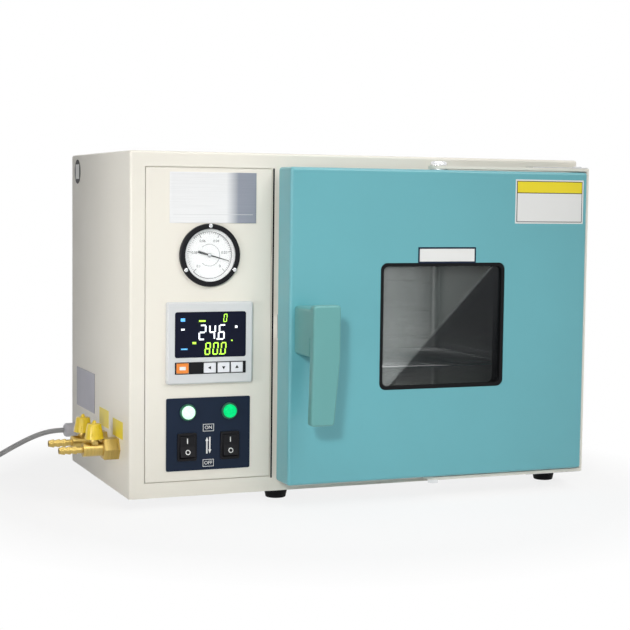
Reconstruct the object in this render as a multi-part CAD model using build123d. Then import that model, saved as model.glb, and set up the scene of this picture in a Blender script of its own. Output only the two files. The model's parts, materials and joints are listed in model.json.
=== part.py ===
"""Bench-top vacuum drying oven: cream steel casing, control column on the left, and a
window door on a swinging yoke over a stainless vacuum chamber.

Every piece is modelled from the casing's front left corner at floor level: x to the right,
y to the back, z up, in millimetres.  On export the whole oven is moved so that its origin
is the middle of its footprint on the bench (cord apart).  Two pieces in one seat share the
same named values, with a named clearance between them.
"""
import math
import os

from build123d import *

# ---------------------------------------------------------------- casing
sheet = 1.2                     # casing steel sheet
casing_bend = 3.5               # outer bend radius of the casing edges
foot_height = 14.0
foot_radius = 16.0
foot_taper = 3.0                # the foot is this much narrower at the bench
foot_left_inset = 16.5          # door's left edge to the left feet
foot_right_inset = 24.0
foot_front_y = 31.0
foot_back_inset = 30.0
foot_round = 1.5
nut_height = 3.0
nut_thread = 1.0                # screw end beyond its nut
fit = 0.1                       # clearance between sheet parts
soft_gap = 0.3                  # clearance between parts that move on each other
flange_height = 14.0            # folded edge of the base pan
louvre_length = 56.0
louvre_height = 4.0
louvre_pitch = 14.0
louvre_rows = 9
louvre_spread = 38.0            # column's middle to each row of slots
louvre_hood = 2.0               # raised rim round a slot
screw_head_radius = 3.6
screw_head_height = 2.2
screw_head_round = 1.0
screw_shank_radius = 1.8
screw_shank_length = 7.0
cover_screw_inset = 8.0

# ---------------------------------------------------------------- control column
panel_left = 19.0
panel_width = 166.0
panel_bottom_inset = 19.0       # above the casing's underside
panel_top_inset = 19.0          # below the casing's top
panel_seam = 1.0                # open joint round the panel
panel_sheet = 1.5
panel_fold = 3.0                # depth of the panel's folded edge
ledge_width = 9.0
panel_door_gap = 3.5            # control panel's edge to the door
divider_inset = 3.5             # divider behind the door's left edge

gauge_height = 302.0            # centre above the casing's underside
gauge_flange_radius = 39.2
gauge_face_radius = 33.6
gauge_lip = 0.8                 # flange over the edge of the lens
gauge_flange_round = 1.6
gauge_flange_thickness = 5.0
gauge_case_depth = 30.0
gauge_wall = 1.2
gauge_glass_thickness = 1.5
gauge_dial_thickness = 0.8
gauge_screw_circle = 36.5
gauge_screw_angles = (90, 210, 330)
gauge_screw_radius = 1.3
gauge_screw_head_radius = 2.6
gauge_screw_head_height = 1.4
gauge_screw_head_round = 0.8
gauge_stem_radius = 5.0
gauge_stem_length = 12.0
gauge_stem_nut_radius = 8.0
movement_width = 26.0
movement_tall = 18.0
movement_corner = 3.0
pointer_length = 27.0
pointer_tail = 15.5
pointer_weight = 6.0            # length of the broad end of the tail
pointer_tip_half = 0.3
pointer_root_half = 0.9
pointer_tail_half = 1.5
pointer_front = 1.4             # front of the pointer before the dial
pointer_thickness = 0.5
pointer_rest_angle = -15.8      # degrees above the three o'clock line
hub_radius = 2.6
arbor_radius = 0.8
arbor_length = 1.6

controller_height = 193.0
controller_width = 112.0
controller_tall = 102.0
controller_proud = 8.0
controller_edge = 2.5
controller_corner = 3.0
controller_body_size = 91.0
controller_body_depth = 68.0
controller_body_round = 2.0
slit_rows = 6
slit_pitch = 8.0
slit_width = 3.0
slit_length = 60.0
slit_depth = 1.5
slit_start = 12.0               # behind the panel's fold
display_width = 93.0
display_tall = 57.0
display_rise = 10.5             # centre of the display above the controller's centre
display_thickness = 1.6
display_corner = 3.0
keypad_drop = 31.0              # centre of the keys below the controller's centre
key_tall = 12.5
key_width = 15.5
key_corner = 1.5
key_round = 0.5
key_offsets = {"key_set": -36.5, "key_shift": -1.0, "key_down": 17.0, "key_up": 34.5}
key_thickness = 4.6
key_proud = 0.9
key_travel = 0.8
key_gap = 0.25

switch_plate_height = 78.2
switch_plate_width = 110.0
switch_plate_tall = 91.5
switch_plate_thickness = 1.2
switch_plate_corner = 2.0
lamp_rise = 27.8
lamp_offset = 27.3
lamp_ring_radius = 10.5
lamp_ring_height = 3.0
lamp_ring_round = 1.2
lamp_nut_rim = 1.0
lamp_nut_thickness = 4.0
lamp_lens_radius = 8.4
lamp_lens_height = 7.0
lamp_lens_round = 3.8
lamp_seat = 1.0                 # floor of the ring under the lens
lamp_body_radius = 7.0
lamp_body_depth = 24.0
rocker_drop = 15.8
rocker_offset = 28.2
rocker_frame_width = 25.0
rocker_frame_tall = 35.0
rocker_frame_proud = 2.4
rocker_frame_corner = 2.0
rocker_frame_round = 0.9
rocker_frame_rim = 2.0          # frame beyond the body that snaps into the panel
terminal_offset = 5.0
terminal_width = 4.8
terminal_thickness = 0.8
terminal_length = 8.0
rocker_width = 19.0
rocker_tall = 28.0              # its ends are arcs about the pin
rocker_crest = 5.5              # pin to the top of each half of the face
rocker_valley = 4.2             # pin to the middle of the face
rocker_underside = 3.0
rocker_pin_depth = 3.2          # pin behind the front of the frame
rocker_tilt = 9.0
rocker_pin_radius = 1.5
rocker_body_depth = 22.0

# ---------------------------------------------------------------- chamber
door_width = 424.0
door_height = 397.0
door_bottom_inset = 15.5        # above the casing's underside
door_top_inset = 17.5           # below the casing's top
door_right_inset = 17.5         # inside the casing's right wall
chamber_side_inset = 62.0       # door's edge to the chamber's side
chamber_top_inset = 48.5        # door's edge to the chamber's top and bottom
chamber_depth = 260.0
chamber_wall = 2.5
chamber_corner = 24.0
chamber_mouth_gap = 2.0
chamber_flange = 23.0           # flange width outside the chamber wall
chamber_flange_thickness = 4.0
chamber_flange_corner = 34.0
rib_height = 9.0
rib_thickness = 4.0
rib_places = (90.0, 180.0)
gasket_width = 13.0
gasket_thickness = 10.0
gasket_inset = 6.0              # chamber wall to the gasket's inner edge
gasket_round = 4.0
gasket_gap = 1.5                # shut but not yet pulled down by vacuum
mat_thickness = 2.0
mat_margin = 40.0
mat_rib_gap = 4.0
blanket_thickness = 25.0
blanket_gap = 2.0
blanket_front_gap = 6.0         # behind the casing's front sheet
blanket_back_gap = 11.3         # in front of the rear cover
blanket_corner = 30.0
blanket_hole_gap = 1.0
port_radius = 5.0
port_wall = 1.5
port_length = 14.0
probe_radius = 2.5
probe_length = 60.0
probe_y = 215.0
probe_rise = 95.0
probe_tail = 20.0               # beyond the divider wall
probe_collar_radius = 5.5
probe_collar_length = 8.0
gauge_port_y = 60.0
valve_ports = {"vent": (58.0, 50.0), "pump": (40.0, 20.0)}  # behind and above each valve
grommet_gap = 2.0

shelf_drop = 62.0               # wire centre below the chamber's centre
shelf_side_gap = 5.0
shelf_front = 17.0
shelf_back_gap = 23.0           # to the chamber's back wall
shelf_corner = 8.0
shelf_frame_radius = 2.5
shelf_rod_radius = 1.5
shelf_rods = 11
shelf_rod_rise = 0.75           # the cross rods are welded in a little above the rim's middle
shelf_runner_drop = 1.25
rail_width = 14.0
rail_thickness = 1.5
rail_lip = 11.0

# ---------------------------------------------------------------- door
door_gap = 15.3                 # casing front to the door's rim
door_thickness = 40.5
door_sheet = 1.5
door_bend = 4.0
door_rim = 13.0                 # inward fold at the back of the door shell
window_width = 178.0
window_height = 162.0
window_corner = 9.0
window_drop = 1.5               # window centre below the door's centre
trim_wall = 4.5
trim_recess = 0.6
trim_flange_width = 7.0
trim_flange_thickness = 2.0
pane_thickness = 4.0
pane_lip = 2.5
pane_setback = 4.0              # front of the pane behind the trim's front
glass_margin = 4.0              # door glass beyond the gasket's outer edge
glass_thickness = 14.0
glass_corner = 20.0
liner_sheet = 1.2
liner_setback = 2.5
liner_clearance = 2.0
buffer_radius = 8.0
buffer_inset = 24.0
clip_reach = 7.0                # over the liner
clip_lap = 5.0                  # over the glass
clip_width = 18.0
glass_edge = 1.0

handle_inset = 7.0              # door's left edge to the lever
handle_width = 36.0
handle_bottom_width = 31.0
handle_bottom_shift = 2.0       # the blade leans this far to the left
handle_shaft_inset = 21.0       # lever's left edge to the shaft
handle_root_bottom = 181.5      # above the casing's underside
handle_root_tall = 60.0
handle_top_overhang = 4.0
handle_drop = 147.0
handle_taper_start = 66.0       # below the blade's top
handle_proud = 62.5             # blade front beyond the door front
handle_blade = 11.0
handle_slot = 2.5               # open joint between the blade and the lower root
handle_slot_tall = 24.0
handle_round = 4.5
handle_face_round = 3.0
handle_door_gap = 0.5
shaft_radius = 6.0
shaft_clearance = 0.05
shaft_sink = 24.0
bush_wall = 4.0
cam_reach = 19.0                # shaft centre to the cam's tip
cam_heel = 10.0                 # shaft centre to the cam's heel
cam_width = 14.0
cam_thickness = 5.0
cam_behind_rim = 1.5
strike_sheet = 3.0
strike_tall = 30.0
strike_cam_gap = 2.5
strike_tip_gap = 2.0            # cam's tip to the keeper's web
strike_bush_gap = 2.0           # keeper's lip to the bush in the door
latch_pocket = 24.0             # half height of the liner's gap round the latch
strike_round = 1.5

# ---------------------------------------------------------------- yoke hinge
hinge_inset = 8.0               # hinge pin from the casing's right wall
hinge_pin_y = -12.0
pivot_y = -35.5                 # the door turns a little on the yoke here
yoke_thickness = 4.0
yoke_width = 26.0
yoke_door_gap = 1.5
yoke_side_gap = 2.0
pin_radius = 4.0
pin_head_radius = 6.5
pin_head_height = 3.0
running = 0.05                  # radial clearance of pins and shafts that turn
ear_radius = 8.0
ear_thickness = 6.0
yoke_elbow = 12.0               # limb widened before the web
yoke_elbow_depth = 6.0
press = 0.01                    # radial clearance of pins that stay put
bracket_leg = 34.0
bracket_sheet = 3.0
doubler_length = 84.0
doubler_thickness = 1.2
doubler_inset = 3.0
pivot_bolt_radius = 5.0
pivot_head_radius = 11.0
pivot_head_height = 5.5
pivot_head_round = 4.4
pivot_reach = 16.0              # bolt inside its threaded block
pivot_nut_radius = 7.5
pivot_nut_height = 5.0
pivot_washer_radius = 11.5
pivot_block_size = 28.0
pivot_block_tall = 20.0
pivot_block_depth = 18.0

# ---------------------------------------------------------------- valves on the left wall
valve_height = 56.0             # above the casing's underside
valve_places = {"vent": 56.0, "pump": 116.0}
valve_flange_flats = 26.0
valve_flange_length = 20.0
valve_flange_edge = 1.2
valve_body_radius = 8.8
valve_body_length = 25.0
barb_length = 30.0
barb_core_radius = 4.2
barb_radius = 5.2
barb_bore = 2.6
barb_rings = 3
barb_cone = 4.1                 # sloping part of each ring
barb_land = 1.5                 # level part of each ring
valve_thread_radius = 6.0
valve_thread_length = 14.0
valve_nut_flats = 19.0
valve_nut_length = 6.0
bonnet_radius = 5.5
bonnet_height = 4.5
bonnet_nut_rim = 1.5
bonnet_nut_rise = 1.5
stem_radius = 2.5
stem_engagement = 11.4          # stem inside the knob
knob_x = -30.0
knob_base_radius = 12.0
knob_top_radius = 8.6
knob_height = 19.0
knob_gap = 0.4
knob_flutes = 10
knob_flute_radius = 1.8
knob_flute_out = 0.2            # flute's centre outside the knob's base
knob_flute_start = 5.0
knob_round = 2.0
knob_cap_radius = 3.2
knob_cap_top_radius = 1.6
knob_cap_height = 4.0
tube_radius = 4.0
tube_bend_x = (70.0, 120.0)     # where the valves' tubes rise
tube_bend_radius = 22.0
gauge_tube_bend_radius = 14.0

# ---------------------------------------------------------------- mains lead
gland_back_inset = 16.0         # from the casing's back
gland_height = 46.0
gland_radius = 10.5
gland_base_length = 5.0
gland_nut_length = 11.0
gland_nut_radius = 9.7
gland_dome_round = 4.5
gland_thread_radius = 8.0
gland_thread_length = 10.0
cord_diameter = 7.0
lead_start_run = 16.0           # straight out of the gland
lead_drop_points = [            # height from the bench, and depth from the gland
    (-53.0, 0.4, 55.0),
    (-75.0, 1.4, 45.5),
    (-98.0, 3.4, 33.0),
    (-122.0, 6.8, 19.5),
    (-147.0, 12.4, 8.6),
    (-171.0, 20.5, 4.2),
]
coil_turn_diameter = 80.0       # middle of the coiled turns
coil_pitch = 7.5                # one turn to the next
coil_across = 2                 # turns side by side
coil_layers = 3
coil_round = 4.5
bench_gap = 0.3                 # what lies loose is drawn just clear of the bench
plug_width = 30.0
plug_length = 24.0
plug_tall = 26.0
plug_round = 5.0
plug_edge_round = 7.8
plug_neck_radius = 5.0
plug_neck_start = 20.0          # coil's middle to the neck's end, along the plug
plug_start = 40.0               # coil's middle to the plug's body
blade_length = 12.0
blade_thickness = 1.5
blade_width = 6.0
blade_spread = 7.0
blade_rise = 4.2                # middle blade above the plug's middle
blade_drop = 2.1                # outer blades below it
blade_turn = 30

# ---------------------------------------------------------------- derived places
panel_right = panel_left + panel_width
column_x = panel_left + panel_width / 2
gauge_x = controller_x = switch_plate_x = column_x
door_left = panel_right + panel_door_gap
door_right = door_left + door_width
casing_width = door_right + door_right_inset
casing_height = door_bottom_inset + door_height + door_top_inset
chamber_width = door_width - 2 * chamber_side_inset
chamber_height = door_height - 2 * chamber_top_inset
divider_x = door_left + divider_inset
foot_left_x = door_left + foot_left_inset
base_z = foot_height
top_z = base_z + casing_height
panel_bottom = base_z + panel_bottom_inset
panel_top = top_z - panel_top_inset
door_bottom = base_z + door_bottom_inset
door_top = door_bottom + door_height
door_rim_y = -door_gap
door_front_y = -door_gap - door_thickness
centre_x = door_left + door_width / 2
centre_z = door_bottom + door_height / 2
chamber_outer_width = chamber_width + 2 * chamber_wall
chamber_outer_height = chamber_height + 2 * chamber_wall
chamber_back = chamber_depth + chamber_wall
blanket_back = chamber_back + mat_thickness + blanket_gap + blanket_thickness
shell_back = blanket_back + blanket_back_gap
casing_depth = shell_back + sheet
flange_front = -chamber_flange_thickness
gasket_inner_width = chamber_width + 2 * gasket_inset
gasket_inner_height = chamber_height + 2 * gasket_inset
gasket_outer_width = gasket_inner_width + 2 * gasket_width
gasket_outer_height = gasket_inner_height + 2 * gasket_width
gasket_front = flange_front - gasket_thickness
glass_width = gasket_outer_width + 2 * glass_margin
glass_height = gasket_outer_height + 2 * glass_margin
glass_back = gasket_front - gasket_gap
glass_front = glass_back - glass_thickness
liner_back = door_rim_y - liner_setback
liner_front = liner_back - liner_sheet
shell_inner_front = door_front_y + door_sheet
window_z = centre_z - window_drop
handle_left = door_left + handle_inset
handle_x = handle_left + handle_shaft_inset
handle_root_z = base_z + handle_root_bottom
handle_axis_z = handle_root_z + handle_root_tall / 2
blade_front = door_front_y - handle_proud
blade_back = blade_front + handle_blade
handle_top = handle_root_z + handle_root_tall + handle_top_overhang
cam_back = door_rim_y + cam_behind_rim + cam_thickness
cam_front = cam_back - cam_thickness
strike_lip_back = cam_front - strike_cam_gap
strike_lip_front = strike_lip_back - strike_sheet
strike_left = handle_x - cam_reach - strike_tip_gap - strike_sheet
strike_right = handle_x - shaft_radius - bush_wall - strike_bush_gap
hinge_x = casing_width - hinge_inset
yoke_top = door_top + yoke_door_gap
yoke_bottom = door_bottom - yoke_door_gap
web_left = door_right + yoke_side_gap
web_right = web_left + yoke_thickness
yoke_front = pivot_y - yoke_width / 2
yoke_back = pivot_y + yoke_width / 2
gauge_z = base_z + gauge_height
controller_z = base_z + controller_height
display_z = controller_z + display_rise
keypad_z = controller_z - keypad_drop
switch_z = base_z + switch_plate_height
lamp_z = switch_z + lamp_rise
rocker_z = switch_z - rocker_drop
valve_z = base_z + valve_height
barb_tip = -(valve_flange_length + valve_body_length + barb_length)
gland_y = casing_depth - gland_back_inset
gland_z = base_z + gland_height
shelf_z = centre_z - shelf_drop
shelf_back = chamber_depth - shelf_back_gap
coil_width = coil_across * coil_pitch
coil_height = coil_layers * coil_pitch
outer_turn_radius = (coil_turn_diameter + coil_width - coil_pitch) / 2
blanket_inner_width = chamber_outer_width + 2 * (rib_height + blanket_gap)
blanket_inner_height = chamber_outer_height + 2 * (rib_height + blanket_gap)
origin_x = (casing_width + barb_tip) / 2
origin_y = (casing_depth + screw_head_height + blade_front) / 2


# ---------------------------------------------------------------- shaping helpers
def block(x0, x1, y0, y1, z0, z1):
    """Box between two corners."""
    centre = Pos((x0 + x1) / 2, (y0 + y1) / 2, (z0 + z1) / 2)
    return centre * Box(x1 - x0, y1 - y0, z1 - z0)


def from_front(sketch, x, z, y0, y1):
    """Prism of a sketch drawn as seen from the front, from y0 back to y1."""
    plane = Plane(origin=(x, y1, z), x_dir=(1, 0, 0), z_dir=(0, -1, 0))
    return extrude(plane * sketch, amount=y1 - y0)


def from_left(sketch, y, z, x0, x1):
    """Prism of a sketch drawn as seen from the left wall, from x0 right to x1."""
    plane = Plane(origin=(x1, y, z), x_dir=(0, -1, 0), z_dir=(-1, 0, 0))
    return extrude(plane * sketch, amount=x1 - x0)


def from_top(sketch, x, y, z0, z1):
    """Prism of a sketch drawn as seen from above, from z0 up to z1."""
    return extrude(Plane.XY.offset(z0) * Pos(x, y) * sketch, amount=z1 - z0)


def ring_from_front(outer, inner, x, z, y0, y1):
    return from_front(outer - inner, x, z, y0, y1)


def tube_along(points, radii, radius):
    """Round tube along straight runs joined by tangent arcs."""
    path = FilletPolyline(*points, radius=radii)
    section = Plane(origin=path @ 0, z_dir=path % 0) * Circle(radius)
    return sweep(section, path=path)


def largest_radii(points):
    """Each corner's arc radius: 0.45 of its shorter run over the tangent of half its turn."""
    radii = []
    for before, here, after in zip(points, points[1:], points[2:]):
        run_in = Vector(*here) - Vector(*before)
        run_out = Vector(*after) - Vector(*here)
        half_turn = math.radians(run_in.get_angle(run_out)) / 2
        radii.append(0.45 * min(run_in.length, run_out.length) / math.tan(half_turn))
    return radii


def edges_of(part, axis, test):
    return [edge for edge in part.edges().filter_by(axis) if test(edge.center())]


def cap_screw(x, y, z, direction):
    """Pan-head screw whose head stands on the surface at x, y, z."""
    head = Cylinder(screw_head_radius, screw_head_height, align=(Align.CENTER,) * 2 + (Align.MIN,))
    head = fillet(head.edges().group_by(Axis.Z)[-1], screw_head_round)
    shank = Cylinder(screw_shank_radius, screw_shank_length,
                     align=(Align.CENTER,) * 2 + (Align.MAX,))
    return Plane(origin=(x, y, z), z_dir=direction) * (head + shank)


# ---------------------------------------------------------------- casing
def bent_box(x0, x1, y0, y1, z0, z1, bend):
    """Box with its two front uprights and its three upper edges bent round."""
    box = block(x0, x1, y0, y1, z0, z1)
    uprights = edges_of(box, Axis.Z, lambda c: c.Y < y0 + 1)
    front_top = edges_of(box, Axis.X, lambda c: c.Y < y0 + 1 and c.Z > z1 - 1)
    side_tops = edges_of(box, Axis.Y, lambda c: c.Z > z1 - 1)
    return fillet(uprights + front_top + side_tops, bend)


def cover_screw_places():
    low, high = base_z + cover_screw_inset, top_z - cover_screw_inset
    left, right = cover_screw_inset, casing_width - cover_screw_inset
    middle_x, middle_z = casing_width / 2, (base_z + top_z) / 2
    return [(left, low), (middle_x, low), (right, low), (right, middle_z),
            (right, high), (middle_x, high), (left, high), (left, middle_z)]


def casing_shell():
    shell = bent_box(0, casing_width, 0, shell_back, base_z, top_z, casing_bend)
    shell -= bent_box(sheet, casing_width - sheet, sheet, shell_back + 1,
                      base_z - 1, top_z - sheet, casing_bend - sheet)
    rim = block(panel_left - sheet, panel_right + sheet, sheet / 2, panel_fold + sheet,
                panel_bottom - sheet, panel_top + sheet)
    rim -= block(panel_left, panel_right, -1, panel_fold, panel_bottom, panel_top)
    shell += rim
    shell -= block(panel_left, panel_right, -1, panel_fold, panel_bottom, panel_top)
    shell -= block(panel_left + ledge_width, panel_right - ledge_width, -1, 2 * panel_fold,
                   panel_bottom + ledge_width, panel_top - ledge_width)
    mouth = RectangleRounded(chamber_outer_width + 2 * chamber_mouth_gap,
                             chamber_outer_height + 2 * chamber_mouth_gap,
                             chamber_corner + chamber_wall + chamber_mouth_gap)
    shell -= from_front(mouth, centre_x, centre_z, -1, sheet + 1)
    for place in valve_places.values():
        shell -= from_left(Circle(valve_thread_radius + fit), place, valve_z, -1, sheet + 1)
    shell -= from_left(Circle(gland_thread_radius + fit), gland_y, gland_z, -1, sheet + 1)
    tab = 2 * cover_screw_inset
    for x, z in cover_screw_places():
        low_z, high_z = max(z - tab / 2, base_z), min(z + tab / 2, top_z - sheet)
        low_x, high_x = max(x - tab / 2, sheet / 2), min(x + tab / 2, casing_width - sheet / 2)
        on_side = x < tab or x > casing_width - tab
        if z < base_z + tab and not on_side:
            continue
        lug = block(low_x, high_x, shell_back - sheet, shell_back, low_z, high_z)
        shell += lug - from_front(Circle(screw_shank_radius + fit), x, z,
                                  shell_back - 2 * sheet, shell_back)
    return shell


def foot_places():
    xs = (foot_left_x, casing_width - foot_right_inset)
    ys = (foot_front_y, casing_depth - foot_back_inset)
    return [(x, y) for x in xs for y in ys]


def base_pan():
    inset = sheet + fit
    back = shell_back - sheet - fit
    pan = block(inset, casing_width - inset, inset, back, base_z, base_z + flange_height)
    pan = fillet(edges_of(pan, Axis.Z, lambda c: c.Y < inset + 1), casing_bend)
    pan -= block(inset + sheet, casing_width - inset - sheet, inset + sheet, back - sheet,
                 base_z + sheet, base_z + flange_height + 1)
    for x, z in cover_screw_places():
        if z < base_z + flange_height:
            pan -= from_front(Circle(screw_shank_radius + fit), x, z, back - 2 * sheet,
                              shell_back)
    for x, y in foot_places():
        pan -= from_top(Circle(screw_shank_radius + fit), x, y, base_z - 1, base_z + sheet + 1)
    return pan


def rear_cover():
    cover = block(0, casing_width, shell_back, casing_depth, base_z, top_z)
    cover = fillet(edges_of(cover, Axis.Y, lambda c: True), casing_bend)
    slot = SlotOverall(louvre_length, louvre_height)
    for row in range(louvre_rows):
        z = panel_bottom + 2 * cover_screw_inset + louvre_pitch * (row + 2)
        for x in (column_x - louvre_spread, column_x + louvre_spread):
            cover -= from_front(slot, x, z, shell_back - 1, casing_depth + 1)
            rim = SlotOverall(louvre_length + 2 * louvre_hood, louvre_height + 2 * louvre_hood)
            hood = from_front(rim, x, z, casing_depth, casing_depth + sheet)
            hood -= from_front(slot, x, z, casing_depth - 1, casing_depth + sheet + 1)
            cover += hood
    for x, z in cover_screw_places():
        cover -= from_front(Circle(screw_shank_radius + fit), x, z,
                            shell_back - 1, casing_depth + 1)
    return cover


def cover_screws():
    return [cap_screw(x, casing_depth, z, (0, 1, 0)) for x, z in cover_screw_places()]


def divider_wall():
    inset = 2 * (sheet + fit)
    wall = block(divider_x, divider_x + sheet, casing_bend + fit, shell_back - inset,
                 base_z + sheet + fit, top_z - sheet - fit)
    for y, z in tube_ports().values():
        wall -= from_left(Circle(tube_radius + grommet_gap), y, z, divider_x - 1, divider_x + sheet + 1)
    probe_z = centre_z + probe_rise
    return wall - from_left(Circle(probe_radius + grommet_gap), probe_y, probe_z,
                            divider_x - 1, divider_x + sheet + 1)


def feet():
    pads = []
    for x, y in foot_places():
        pad = Pos(x, y, 0) * Cone(foot_radius - foot_taper, foot_radius, foot_height,
                                  align=(Align.CENTER,) * 2 + (Align.MIN,))
        pad = fillet(pad.edges().group_by(Axis.Z)[0], foot_round)
        well = from_top(Circle(screw_head_radius + 1), x, y, -1, foot_height / 2)
        hole = from_top(Circle(screw_shank_radius + fit), x, y, 0, foot_height + 1)
        pads.append(pad - well - hole)
    return pads


def foot_screws():
    screws = []
    for x, y in foot_places():
        seat = foot_height / 2
        head = from_top(Circle(screw_head_radius), x, y, seat - screw_head_height, seat)
        nut_top = base_z + sheet + nut_height
        shank = from_top(Circle(screw_shank_radius), x, y, seat, nut_top + nut_thread)
        nut = from_top(RegularPolygon(screw_head_radius, 6), x, y, base_z + sheet, nut_top)
        screws.append(head + shank + nut)
    return screws


# ---------------------------------------------------------------- control column
def controller_window():
    return Rectangle(controller_body_size + 2 * fit, controller_body_size + 2 * fit)


def control_panel():
    left, right = panel_left + panel_seam, panel_right - panel_seam
    low, high = panel_bottom + panel_seam, panel_top - panel_seam
    panel = block(left, right, 0, panel_fold, low, high)
    panel -= block(left + panel_sheet, right - panel_sheet, panel_sheet, panel_fold + 1,
                   low + panel_sheet, high - panel_sheet)
    panel -= from_front(Circle(gauge_face_radius + gauge_wall + fit), gauge_x, gauge_z, -1,
                        panel_fold)
    for x, z in gauge_screw_places():
        panel -= from_front(Circle(gauge_screw_radius + fit), x, z, -1, panel_fold)
    panel -= from_front(controller_window(), controller_x, controller_z, -1, panel_fold)
    for x in lamp_places():
        panel -= from_front(Circle(lamp_body_radius + fit), x, lamp_z, -1, panel_fold)
    for x in rocker_places():
        panel -= from_front(rocker_body_outline(fit), x, rocker_z, -1, panel_fold)
    return panel


def gauge_screw_places():
    places = []
    for degrees in gauge_screw_angles:
        angle = math.radians(degrees)
        places.append((gauge_x + gauge_screw_circle * math.cos(angle),
                       gauge_z + gauge_screw_circle * math.sin(angle)))
    return places


def gauge_case():
    """Cup behind the panel, with its brass stem at the back."""
    front = -gauge_flange_thickness + gauge_glass_thickness
    outer = gauge_face_radius + gauge_wall
    cup = from_front(Circle(outer), gauge_x, gauge_z, front, gauge_case_depth)
    cup -= from_front(Circle(gauge_face_radius), gauge_x, gauge_z,
                      front - 1, gauge_case_depth - gauge_wall)
    stem = from_front(RegularPolygon(gauge_stem_nut_radius, 6), gauge_x, gauge_z,
                      gauge_case_depth, gauge_case_depth + gauge_stem_length / 2)
    stem += from_front(Circle(gauge_stem_radius), gauge_x, gauge_z,
                       gauge_case_depth, gauge_case_depth + gauge_stem_length)
    return fillet(cup.edges().group_by(Axis.Y)[-1], 1.0) + stem


def gauge_flange():
    outer = from_front(Circle(gauge_flange_radius), gauge_x, gauge_z, -gauge_flange_thickness, 0)
    outer = fillet(outer.edges().group_by(Axis.Y)[0], gauge_flange_round)
    seat = gauge_face_radius + gauge_wall + fit
    outer -= from_front(Circle(gauge_face_radius - gauge_lip), gauge_x, gauge_z,
                        -gauge_flange_thickness - 1, 1)
    outer -= from_front(Circle(seat), gauge_x, gauge_z,
                        -gauge_flange_thickness + gauge_glass_thickness, 1)
    for x, z in gauge_screw_places():
        outer -= from_front(Circle(gauge_screw_radius + fit), x, z,
                            -gauge_flange_thickness - 1, 1)
    return outer


def gauge_glass():
    """Flat lens between the flange's lip and the cup's rim."""
    back = -gauge_flange_thickness + gauge_glass_thickness
    return from_front(Circle(gauge_face_radius - gauge_lip - fit), gauge_x, gauge_z,
                      back - gauge_glass_thickness, back)


def gauge_dial():
    dial = from_front(Circle(gauge_face_radius - fit), gauge_x, gauge_z, 0, gauge_dial_thickness)
    arbor = from_front(Circle(arbor_radius), gauge_x, gauge_z, -arbor_length, 0)
    movement = from_front(RectangleRounded(movement_width, movement_tall, movement_corner), gauge_x,
                          gauge_z, gauge_dial_thickness, gauge_case_depth - gauge_wall)
    return dial + arbor + movement


def gauge_pointer():
    """Tapered needle with a broad counterweight tail, on a domed hub."""
    weight_start = -pointer_tail + pointer_weight
    upper = [(pointer_length, pointer_tip_half), (0, pointer_root_half),
             (weight_start, pointer_tail_half), (-pointer_tail, pointer_tail_half)]
    lower = [(x, -y) for x, y in reversed(upper)]
    outline = make_face(Polyline(*upper, *lower, upper[0]))
    outline = Rot(0, 0, pointer_rest_angle) * (outline + Circle(hub_radius))
    pointer = from_front(outline, gauge_x, gauge_z, -pointer_front,
                         pointer_thickness - pointer_front)
    return pointer - from_front(Circle(arbor_radius + running), gauge_x, gauge_z,
                                -2 * pointer_front, 1)


def gauge_screws():
    screws = []
    for x, z in gauge_screw_places():
        seat = -gauge_flange_thickness
        head = from_front(Circle(gauge_screw_head_radius), x, z,
                          seat - gauge_screw_head_height, seat)
        head = fillet(head.edges().group_by(Axis.Y)[0], gauge_screw_head_round)
        screws.append(head + from_front(Circle(gauge_screw_radius), x, z, seat,
                                        panel_fold + nut_height))
    return screws


def controller_bezel():
    bezel = from_front(RectangleRounded(controller_width, controller_tall, controller_corner),
                       controller_x, controller_z, -controller_proud, 0)
    bezel = fillet(bezel.edges().group_by(Axis.Y)[0], controller_edge)
    opening = RectangleRounded(display_width, display_tall, display_corner)
    bezel -= from_front(opening, controller_x, display_z, -controller_proud - 1,
                        -controller_proud + display_thickness)
    for offset in key_offsets.values():
        bezel -= from_front(key_outline(key_gap), controller_x + offset, keypad_z,
                            -controller_proud - 1, key_back_y() + key_travel + soft_gap)
    return bezel


def key_outline(gap):
    return RectangleRounded(key_width + 2 * gap, key_tall + 2 * gap, key_corner + gap)


def key_back_y():
    return -controller_proud - key_proud + key_thickness


def controller_body():
    """Electronics housing behind the panel, with cooling slits."""
    body = from_front(Rectangle(controller_body_size, controller_body_size),
                      controller_x, controller_z, 0, controller_body_depth)
    body = fillet(body.edges().group_by(Axis.Y)[-1], controller_body_round)
    half = controller_body_size / 2
    left, right = controller_x - slit_length / 2, controller_x + slit_length / 2
    for row in range(slit_rows):
        y = panel_fold + slit_start + row * slit_pitch
        for side in (-1, 1):
            z = controller_z + side * half
            body -= block(left, right, y, y + slit_width, z - slit_depth, z + slit_depth)
    return body


def display_window():
    glass = RectangleRounded(display_width - 2 * fit, display_tall - 2 * fit,
                             display_corner - fit)
    return from_front(glass, controller_x, display_z, -controller_proud,
                      -controller_proud + display_thickness)


def controller_key(offset):
    key = from_front(key_outline(0), controller_x + offset, keypad_z,
                     -controller_proud - key_proud, key_back_y())
    return fillet(key.edges().group_by(Axis.Y)[0], key_round)


def switch_plate():
    plate = from_front(RectangleRounded(switch_plate_width, switch_plate_tall, switch_plate_corner),
                       switch_plate_x, switch_z, -switch_plate_thickness, 0)
    for x in lamp_places():
        plate -= from_front(Circle(lamp_body_radius + fit), x, lamp_z, -2 * switch_plate_thickness, 1)
    for x in rocker_places():
        plate -= from_front(rocker_body_outline(fit), x, rocker_z,
                            -2 * switch_plate_thickness, 1)
    return plate


def lamp_places():
    return (switch_plate_x - lamp_offset, switch_plate_x + lamp_offset)


def rocker_places():
    return (switch_plate_x - rocker_offset, switch_plate_x + rocker_offset)


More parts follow.
